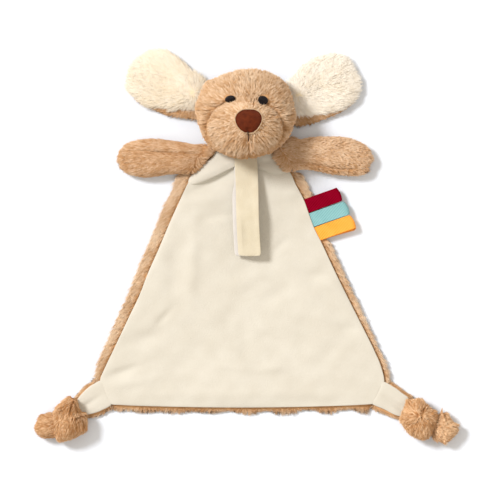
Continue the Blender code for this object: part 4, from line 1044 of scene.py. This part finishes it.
# Each arm: its outline and its middle.
arm_shapes = {
    "left": (
        ((-91.2, 59.9), (-90.5, 64.9), (-88.6, 68.7), (-83.7, 72.6), (-76.3, 74.8), (-66.5, 75.7),
         (-56.7, 74.8), (-46.9, 73.6), (-37.1, 71.9), (-26.1, 71.8), (-22.2, 66.3), (-27.6, 59.3),
         (-32.6, 53.6), (-36.5, 50.1), (-42, 49.5), (-51.8, 49.5), (-59.1, 48.6), (-66.5, 47.4),
         (-73.8, 47.4), (-79.8, 48.6), (-85.1, 50.5), (-88.6, 53.5), (-90, 56.9)),
        (-62, 61.5),
    ),
    "right": (
        ((29.5, 77.1), (37.1, 75.6), (45.5, 76.8), (57.8, 77.3), (67.7, 76.8), (74.9, 75.1), (82.4, 71.7),
         (86.4, 67.7), (88.8, 62.3), (88.3, 58.9), (85.8, 55.1), (85.8, 52.5), (82.4, 49.5), (77.5, 48.3),
         (70, 48.3), (60.2, 49.3), (50.4, 51.2), (43.1, 52.3), (37.1, 52.5), (28.2, 50.6), (23.6, 53.4),
         (20, 57.5), (17.6, 63.3), (22, 72)),
        (55, 62.8),
    ),
}


def left_arm_crease(x, y):
    """One in the bottom of the left arm's crease, fading to its sides and ends."""
    return bell((y - 0.0652 + (x + 0.06) * 0.05) / 0.0017) * bell((x + 0.052) / 0.021)


def right_arm_crease(x, y):
    """The same for the right arm, whose crease drops towards the paw."""
    middle = 0.0583 - 0.0045 / (1 + np.exp(-(x - 0.052) / 0.004))
    return bell((y - middle) / 0.0017) * bell((x - 0.055) / 0.024)


# Each arm: its crease and how deep that is, the middle of the fold at its root, its tone, and its hinge.
arm_forms = {
    "left": (left_arm_crease, 0.0026, -0.027, 0.42, (-31.2, 58.5)),
    "right": (right_arm_crease, 0.0028, 0.023, 0.62, (23.6, 58.5)),
}
for side, (arm_edge, arm_middle) in arm_shapes.items():
    outwards = -1 if side == "left" else 1
    crease_at, crease_depth, fold_at, middle_tone, arm_hinge = arm_forms[side]
    middle_line = arm_middle[1] * mm

    def arm_relief(x, y, r):
        """The crease along the arm, and a fold at its root."""
        return -crease_depth * crease_at(x, y) - 0.0022 * bell((x - fold_at) / 0.011)

    def arm_flow(root, normal):
        """Along the arm to the paw, slanting down below its middle line, and over the seam at its root."""
        spread = (root[:, 1] - middle_line) / 0.014
        from_seam = outwards * (root[:, 0] - arm_hinge[0] * mm) + (root[:, 1] - middle_line) * 0.6
        onward = np.tanh((from_seam - 0.003) / 0.003) * outwards
        return np.stack([onward, 0.45 * spread - 0.25, -0.3 * (1 - normal[:, 2].clip(0, 1))], -1)

    def arm_tone(root, normal):
        """Deeper in the crease as painted shade, and streaked aslant below it."""
        x, y, z = root.T
        low = ((middle_line - y) / 0.006 + 0.6).clip(0, 1)
        streaks = partings(np.stack([x * 0.3 - y * 0.25, y, z * 0.5], -1), 0.0065, 52)
        # The crease's deeper tone is painted shade.
        depth = 0.45 * crease_at(x, y) + 0.04 * low + (0.12 + 0.28 * low) * streaks
        return middle_tone - depth + 0.12 * drift(root, 0.012, 51)

    arm_pad = Pad(
        drawn_in(closed_curve(arm_edge, 170), 2.3 * mm), arm_middle, edge=6.2, rise=6.0, drop=5.3, full=2.5,
        low_full=3, relief=arm_relief,
    )
    arm = closed_skin(f"arm_{side}_plush", arm_pad.grid(26), tan_skin)
    arm_pile = grow_pile(
        f"arm_{side}_pile", arm, 4700, 3.9, arm_flow, tan_pile, arm_tone,
        keep=lambda root, normal: (normal[:, 2] > -0.6) * 1.0, seed=51, lay=0.68, width=0.46, strands=4,
        spread=0.55, lit_below=True,
    )
    arm_low_pile = grow_low_pile(
        f"arm_{side}_low_pile", arm, 2000, arm_flow, tan_pile,
        lambda root, normal: 0.5 + 0.25 * drift(root, 0.02, 53), seed=53,
    )
    batting_pad = Pad(
        drawn_in(closed_curve(arm_edge, 60), 5 * mm), arm_middle, edge=6.2, rise=3.6, drop=3.4, floor=0.002
    )
    arm_batting = closed_skin(f"arm_{side}_stuffing", batting_pad.grid(8), polyester)
    for piece, slot in (
        (arm, "plush_tan"), (arm_pile, "plush_tan"), (arm_low_pile, "plush_tan"), (arm_batting, "filling"),
    ):
        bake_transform(piece)
    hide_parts(f"arm_{side}_cover")
    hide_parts(f"arm_{side}_filling")


# The soother strap: a cream velour leaf lined with a white one, sewn in under the chin. Hook and loop
# patches close the leaves on each other round a soother's ring.

lining_white = cloth_look(
    "white_lining", (0.6, 0.58, 0.56), (0.64, 0.62, 0.6), patch=6, grain=0.5, bump=0.4, sheen=0.1
)
strap_cream = cloth_look(
    "strap_velour", (0.6, 0.542, 0.41), (0.64, 0.586, 0.458), patch=7, grain=0.6, bump=0.7
)
strap_width, strap_thickness = 15.9 * mm, 1.3 * mm


def band(route, across, width, thickness, sides=28, end_share=0.045, full=5.0):
    """A flat band along a route: its section is a flat superellipse, narrowed at both ends.

    The section's points are across * width / 2 * cos and normal * thickness / 2 * sin, each drawn
    to the power 2 / full, where the normal is square to the route and to the across direction.
    """
    ahead = unit(np.gradient(route, axis=0))[:, None]
    over = unit(np.cross(across, ahead))
    round_it = around(sides)
    wide = np.sign(np.cos(round_it)) * np.abs(np.cos(round_it)) ** (2 / full)
    high = np.sign(np.sin(round_it)) * np.abs(np.sin(round_it)) ** (2 / full)
    along = np.linspace(0, 1, len(route))[:, None]
    near_end = np.minimum(along, 1 - along) / end_share
    taper = np.sqrt(1 - (1 - near_end.clip(0, 1)) ** 2)
    narrowed = 0.72 + 0.28 * taper
    places = route[:, None] + (
        across * (wide * width / 2 * narrowed)[..., None] + over * (high * thickness / 2 * taper)[..., None]
    )
    places[0], places[-1] = route[0], route[-1]
    return places


strap_top, strap_run = 62.0, 69.6
strap_down = np.linspace(0, 1, 90)
# Each leaf: how far it lies to the side and off the floor at its root, and its tilt.
strap_lie = {"inner": (-1.6, 6.2, 0.1), "outer": (-1.0, 9.0, 0.13)}
strap_pieces, strap_routes = {}, {}


def eased(value):
    """From nought to one along an S, standing still at both ends."""
    return value.clip(0, 1) ** 2 * (3 - 2 * value.clip(0, 1))


for leaf, (aside, floor, tilt) in strap_lie.items():
    aslant = 1.9 * eased((strap_down - 0.22) / 0.18) if leaf == "inner" else 0
    rise = 7.6 * eased(strap_down / 0.62) - 2.4 * eased((strap_down - 0.55) / 0.45)
    route = np.stack([
        (aside + 2.8 * strap_down + 0.25 * np.sin(strap_down * 7) - aslant) * mm,
        (strap_top - strap_run * strap_down) * mm,
        (floor + rise + (0.25 * np.sin(strap_down * 11 + 0.6) * strap_down if leaf == "outer" else 0)) * mm,
    ], -1)
    turn = tilt * np.clip(strap_down * 2.5, 0, 1)[:, None]
    across = unit(np.concatenate([np.ones_like(turn), np.zeros_like(turn), turn], -1))[:, None]
    cloth = band(route, across, strap_width, strap_thickness, sides=64)
    beside = cloth[..., 0] / mm - (route[:, :1] / mm)
    wrinkle = 1.7 * bell((beside + 2.2) / 1.2) * bell((strap_down - 0.78) / 0.15)[:, None]
    wrinkle = wrinkle + 0.4 * bell((beside - 1.5 - 3 * strap_down[:, None]) / 2.6)
    cloth[..., 2] -= wrinkle * mm * (leaf == "outer") * (1 - np.abs(beside / 7.95).clip(0, 1) ** 6)
    strap_pieces[leaf] = closed_skin(
        f"strap_{leaf}_leaf_cloth", cloth, strap_cream if leaf == "outer" else lining_white
    )
    strap_routes[leaf] = route, across
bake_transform(strap_pieces["inner"])
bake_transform(strap_pieces["outer"])
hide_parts("strap_inner_leaf")
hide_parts("strap_outer_leaf")

tape_white = cloth_look(
    "tape_white", (0.72, 0.7, 0.66), (0.78, 0.77, 0.73), patch=1.2, grain=0.35, bump=0.9, sheen=0.1
)
tape_width, tape_thickness = 10.5 * mm, 0.7 * mm
taped = slice(71, 88)  # the steps down the strap that the tapes cover
for tape, leaf, off in (("loop_patch", "inner", 0.95), ("hook_patch", "outer", -0.95)):
    route, across = strap_routes[leaf]
    patch_band = band(route[taped] + at(0.4, 0, off), across[taped], tape_width, tape_thickness)
    patch = closed_skin(f"{tape}_tape", patch_band, tape_white)
    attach(patch, f"strap_{leaf}")
    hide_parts(tape)


# The ribbon tags: three loops of grosgrain ribbon, crimson, aqua and orange. Both ends of each are
# sewn into the right side seam, so its fold stands open.

ribbon_down = np.array((0.4137, -0.9104, 0.0))
ribbon_out = np.array((0.9104, 0.4137, 0.0))
seam_start = at(29.4, 51.0, 0.0)


def ribbon_look(name, deep, pale):
    """Grosgrain: fine slanting ribs, raised, and paler as a painted highlight, over soft changes of tone."""
    look = cloth_look(name, deep, pale, patch=5, grain=0.4, bump=0.3, sheen=0.0, rough=0.62)
    nodes, links = look.node_tree.nodes, look.node_tree.links
    spot, turn, ribs = (nodes.new(f"ShaderNode{kind}") for kind in ("TexCoord", "Mapping", "TexWave"))
    turn.inputs["Rotation"].default_value = (0, 0, math.radians(40))
    ribs.wave_type, ribs.bands_direction = "BANDS", "X"
    ribs.inputs["Scale"].default_value = 220
    links.new(spot.outputs["Object"], turn.inputs["Vector"])
    links.new(turn.outputs["Vector"], ribs.inputs["Vector"])
    shader = nodes["Principled BSDF"]
    cloth = shader.inputs["Base Color"].links[0].from_socket
    # The ribs' paler colour is a painted highlight.
    rib_highlight = tuple(min(1, part * 1.18 + 0.002) for part in pale)
    links.new(mixed(look, ribs.outputs["Fac"], cloth, rib_highlight), shader.inputs["Base Color"])
    shader.inputs["Specular IOR Level"].default_value = 0.0
    raise_grain(look, ribs.outputs["Fac"], 0.6, 0.0002)
    return look


ribbon_width, ribbon_thickness = 10.0 * mm, 0.42 * mm
# In millimetres: down the seam to the first tag, half a tag, and from tag to tag; then the radius of
# the fold, how much of a tag is sewn in, and the height of the seam.
first_tag, tag_half, tag_step = 21.1, 5.05, 10.5
fold_radius, sewn_in, seam_height = 1.9, 1.4, 3.4
# Each tag: its deep and pale colours, its reach out of the seam, and how far its lower and its upper
# layer lie down the seam from square at the fold, in millimetres.
ribbon_tags = {
    "crimson": ((0.135, 0.0, 0.006), (0.205, 0.0004, 0.013), 23.8, 1.9, 1.9),
    "aqua": ((0.15, 0.35, 0.37), (0.225, 0.44, 0.465), 24.6, 2.2, 2.2),
    "orange": ((0.92, 0.27, 0.025), (0.97, 0.38, 0.065), 24.5, 3.4, 2.1),
}
for order, (colour, (deep, pale, reach, low_skew, high_skew)) in enumerate(ribbon_tags.items()):
    root = seam_start + ribbon_down * (first_tag + tag_half + order * tag_step) * mm
    turn = np.linspace(-math.pi / 2, math.pi / 2, 21)
    flat = np.linspace(-sewn_in, reach, 30)
    back = flat[::-1][1:]
    run = np.concatenate([flat[:-1], reach + fold_radius * np.cos(turn), back])
    closing = 0.5 + (2 * fold_radius - 0.5) * ((back + sewn_in) / (reach + sewn_in)) ** 0.7
    rise = np.concatenate([np.zeros_like(back), fold_radius + fold_radius * np.sin(turn), closing])
    over = np.concatenate([np.zeros_like(back), np.sin(turn) / 2 + 0.5, np.ones_like(back)])
    skew = (low_skew + (high_skew - low_skew) * over) * np.clip(run / reach, 0, 1) ** 1.15
    route = root + ribbon_out * (run * mm)[:, None]
    route = route + np.array((0, 0, 1.0)) * ((seam_height + rise) * mm)[:, None]
    route = route + ribbon_down * (skew * mm)[:, None]
    loop = band(route, ribbon_down, ribbon_width, ribbon_thickness, sides=48, end_share=0.01, full=8)
    aside = (loop - route[:, None]) @ ribbon_down / (ribbon_width / 2)
    selvedge = 0.14 * mm * bell((np.abs(aside) - 0.9) / 0.05)
    swell = 1.1 * mm * (1 - aside**2) * (np.clip(run / reach, 0, 1) ** 3)[:, None]
    loop = loop + swell[..., None] * ribbon_out
    loop[..., 2] += selvedge * (over > 0.5)[:, None]
    ribbon = closed_skin(f"ribbon_{colour}_loop", loop, ribbon_look(f"{colour}_grosgrain", deep, pale))
    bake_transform(ribbon)
    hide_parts(f"ribbon_{colour}")


# The knotted corners: a strip of both cloths runs out of each lower corner, is tied in one knot with
# its plush outside, and ends in a short tail.

# Each corner: outlines and middles, then the way its pile and its strip run, and its tones.
corner_shapes = {
    "left": {
        "strip": ((-101.6, -94.8), (-107.4, -96.8), (-113.2, -101), (-119, -108), (-119.5, -113),
                  (-116.5, -117.6), (-112.5, -118.3), (-107.4, -117.4), (-101.8, -115.3), (-94.6, -110.6),
                  (-98, -103)),
        "strip_middle": (-107.5, -107.2),
        "back": ((-105, -92.6), (-109, -95), (-115, -99.5), (-121, -107), (-121, -115), (-117, -121),
                 (-111, -120.8), (-105, -119.8), (-98, -116.5), (-93.5, -112.6), (-99.6, -103)),
        "knot": ((-123.6, -105), (-120, -105.8), (-117, -114.6), (-113.2, -117.8), (-112, -124.6),
                 (-112.7, -129), (-117.3, -132.3), (-123.2, -135.1), (-130.5, -136.7), (-134, -133.5),
                 (-135.4, -126), (-134.8, -115.4), (-129.3, -109)),
        "knot_middle": (-124, -121),
        "tail": ((-136, -117.1), (-141.4, -117.8), (-144.7, -119.4), (-146.6, -122.7), (-147.8, -125.9),
                 (-147.4, -129.5), (-145.7, -132.3), (-142.1, -134.3), (-137.3, -134.3), (-131, -133),
                 (-127, -126), (-130, -119)),
        "tail_middle": (-138, -126),
        "flow_start": (-117, -100), "tail_flow": (-1.0, -0.12),
        "hinge": (-99.7, -103.2), "out": (-0.83, -0.56),
        "knot_tone": 0.42, "tail_tone": 0.34, "groove": 1.2,
    },
    "right": {
        "strip": ((94.8, -95), (103.9, -99.6), (109, -103.5), (113, -106.6), (113.5, -112), (109, -119),
                  (104, -118.6), (96.3, -114.7), (87.4, -110.4), (90, -105), (92.6, -100)),
        "strip_middle": (102, -108),
        "back": ((97.6, -93.6), (104.5, -97.4), (111, -102), (116, -106), (115, -116), (110, -121.4),
                 (103, -121), (95, -117.6), (86.5, -113), (92, -106), (94.5, -101)),
        "knot": ((112.3, -108.2), (115.9, -108.2), (119, -107.3), (122.7, -107.8), (125.5, -110.6),
                 (128.8, -113.8), (132.8, -117.1), (132, -126), (128, -133.2), (124.6, -135.1),
                 (121.5, -135.3), (116.7, -133.5), (112.7, -130.7), (109.9, -126.7), (107.1, -121.9),
                 (110, -114)),
        "knot_middle": (119.9, -121.5),
        "tail": ((134.4, -118.2), (136.4, -115.4), (139.6, -116.6), (143.5, -122.3), (146.9, -124.7),
                 (147.7, -126.7), (146.3, -131.1), (141.6, -136.3), (137.9, -138.3), (134.8, -137.1),
                 (130.8, -135.1), (128, -128), (130.5, -121)),
        "tail_middle": (137.3, -126.6),
        "flow_start": (120.4, -118.5), "tail_flow": (0.95, -0.3),
        "hinge": (92.2, -103.2), "out": (0.83, -0.56),
        "knot_tone": 0.5, "tail_tone": 0.72, "groove": 0.7,
    },
}
tied_pile = pile_look(
    "tan_tied_pile", ((0.34, 0.12, 0.03), (0.7, 0.38, 0.16)), ((0.56, 0.29, 0.115), (0.92, 0.7, 0.47))
)


def thin_below(root, normal):
    """All of a lump's pile, but a third of it underneath."""
    return np.where(normal[:, 2] < -0.6, 0.3, 1.0)


for side, shape in corner_shapes.items():
    outwards = -1 if side == "left" else 1
    hinge, out = at(*shape["hinge"], 5.8), at(*shape["out"], 0)
    onward = out / mm
    flow_start, tail_way = at(*shape["flow_start"], 14), np.array(shape["tail_flow"])

    def knot_flow(root, normal):
        """Away from the place where the last turn of the strip comes out of the knot."""
        return root - flow_start

    def knot_tone(root, normal):
        """Streaked along the pile, and deeper low down by the table as painted shade."""
        streaks = partings(fanned(root, flow_start[:2], 3), 0.0035, 64)
        # Painted shade low down, near the table.
        low = ((0.012 - root[:, 2]) / 0.01).clip(0, 1)
        return shape["knot_tone"] - 0.4 * streaks - 0.15 * low + 0.15 * drift(root, 0.009, 63)

    def tail_flow(root, normal):
        """Out to the end of the strip."""
        return np.tile([*tail_way, 0.0], (len(root), 1))

    def tail_tone(root, normal):
        """Streaked along the pile."""
        along, aside = root[:, :2] @ tail_way, root[:, :2] @ np.array((-tail_way[1], tail_way[0]))
        streaks = partings(np.stack([along / 3, aside, root[:, 2] * 0.5], -1), 0.006, 66)
        return shape["tail_tone"] - 0.35 * streaks + 0.15 * drift(root, 0.009, 65)

    def strip_relief(x, y, r):
        """A crease that runs along the strip into the knot."""
        off = np.stack([x, y], -1) - hinge[:2]
        along, aside = off @ onward[:2], off @ np.array((-onward[1], onward[0]))
        return -0.0014 * bell(aside / 0.0022) * np.clip(along / 0.018, 0, 1)

    def strip_flow(root, normal):
        """Off the strip's middle, and out towards the knot."""
        return unit(root - at(*shape["strip_middle"], 2)) + 1.2 * onward

    def knot_relief(x, y, r):
        """The groove where the last turn of the strip passes over the first, and smaller gathers."""
        off = np.stack([x, y], -1) - at(*shape["knot_middle"])
        groove = off @ np.array((-0.45 * outwards, 0.89))
        gathers = 0.0005 * np.sin((off @ np.array((0.89, 0.45 * outwards))) / 0.0016)
        return gathers - shape["groove"] * mm * bell((groove + 0.001) / 0.0024)

    back_strip = Pad(
        drawn_in(closed_curve(shape["back"], 110), 1.4 * mm), shape["strip_middle"],
        edge=1.8, rise=0.9, drop=1.0, full=7, low_full=7, floor=0.0005,
    )
    strip_back = closed_skin(f"corner_{side}_plush_strip", back_strip.grid(14), tan_skin)
    strip_pile = grow_pile(
        f"corner_{side}_strip_pile", strip_back, 4600, 3.0, strip_flow, tan_pile,
        lambda root, normal: 0.6 + 0.2 * drift(root, 0.01, 61),
        keep=lambda root, normal: (np.abs(normal[:, 2] - 0.15) < 0.75) * 1.0, seed=61, lay=0.7, width=0.36,
    )
    strip_low_pile = grow_low_pile(
        f"corner_{side}_strip_low_pile", strip_back, 900, lambda root, normal: np.tile(out, (len(root), 1)),
        tan_pile, lambda root, normal: 0.45 + 0.25 * drift(root, 0.02, 62), seed=62,
    )
    front_strip = Pad(
        closed_curve(shape["strip"], 110), shape["strip_middle"], edge=4.0, rise=2.0, drop=1.2, full=5,
        low_full=6, relief=strip_relief, floor=0.0026,
    )
    strip_front = closed_skin(f"corner_{side}_velour_strip", front_strip.grid(24), velour_cream)
    knot_pad = Pad(
        drawn_in(closed_curve(shape["knot"], 110), 2.3 * mm), shape["knot_middle"],
        edge=9.3, rise=9.2, drop=8.4, full=2.2, low_full=2.6, relief=knot_relief,
    )
    knot = closed_skin(f"corner_{side}_knot_plush", knot_pad.grid(26), tan_skin)
    knot_pile = grow_pile(
        f"corner_{side}_knot_pile", knot, 3700, 4.6, knot_flow, tied_pile, knot_tone, thin_below, seed=63,
        lay=0.56, width=0.46, strands=3, spread=0.45, clump=0.6, ruffle=0.14, mottle=0.32, soften=0.45,
        lit_below=True,
    )
    tail_pad = Pad(
        drawn_in(closed_curve(shape["tail"], 90), 2.2 * mm), shape["tail_middle"],
        edge=6.6, rise=5.4, drop=5.8, full=2.3, low_full=2.6,
    )
    tail = closed_skin(f"corner_{side}_tail_plush", tail_pad.grid(20), tan_skin)
    tail_pile = grow_pile(
        f"corner_{side}_tail_pile", tail, 2100, 4.6, tail_flow, tied_pile, tail_tone, thin_below, seed=65,
        lay=0.6, width=0.46, strands=3, spread=0.45, clump=0.6, ruffle=0.12, mottle=0.3, soften=0.5,
        lit_below=True,
    )
    for piece in (strip_back, strip_pile, strip_low_pile, strip_front, knot, knot_pile, tail, tail_pile):
        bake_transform(piece)
    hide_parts(f"corner_{side}_back")
    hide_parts(f"corner_{side}_front")
    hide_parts(f"corner_{side}_knot")
    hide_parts(f"corner_{side}_tail")
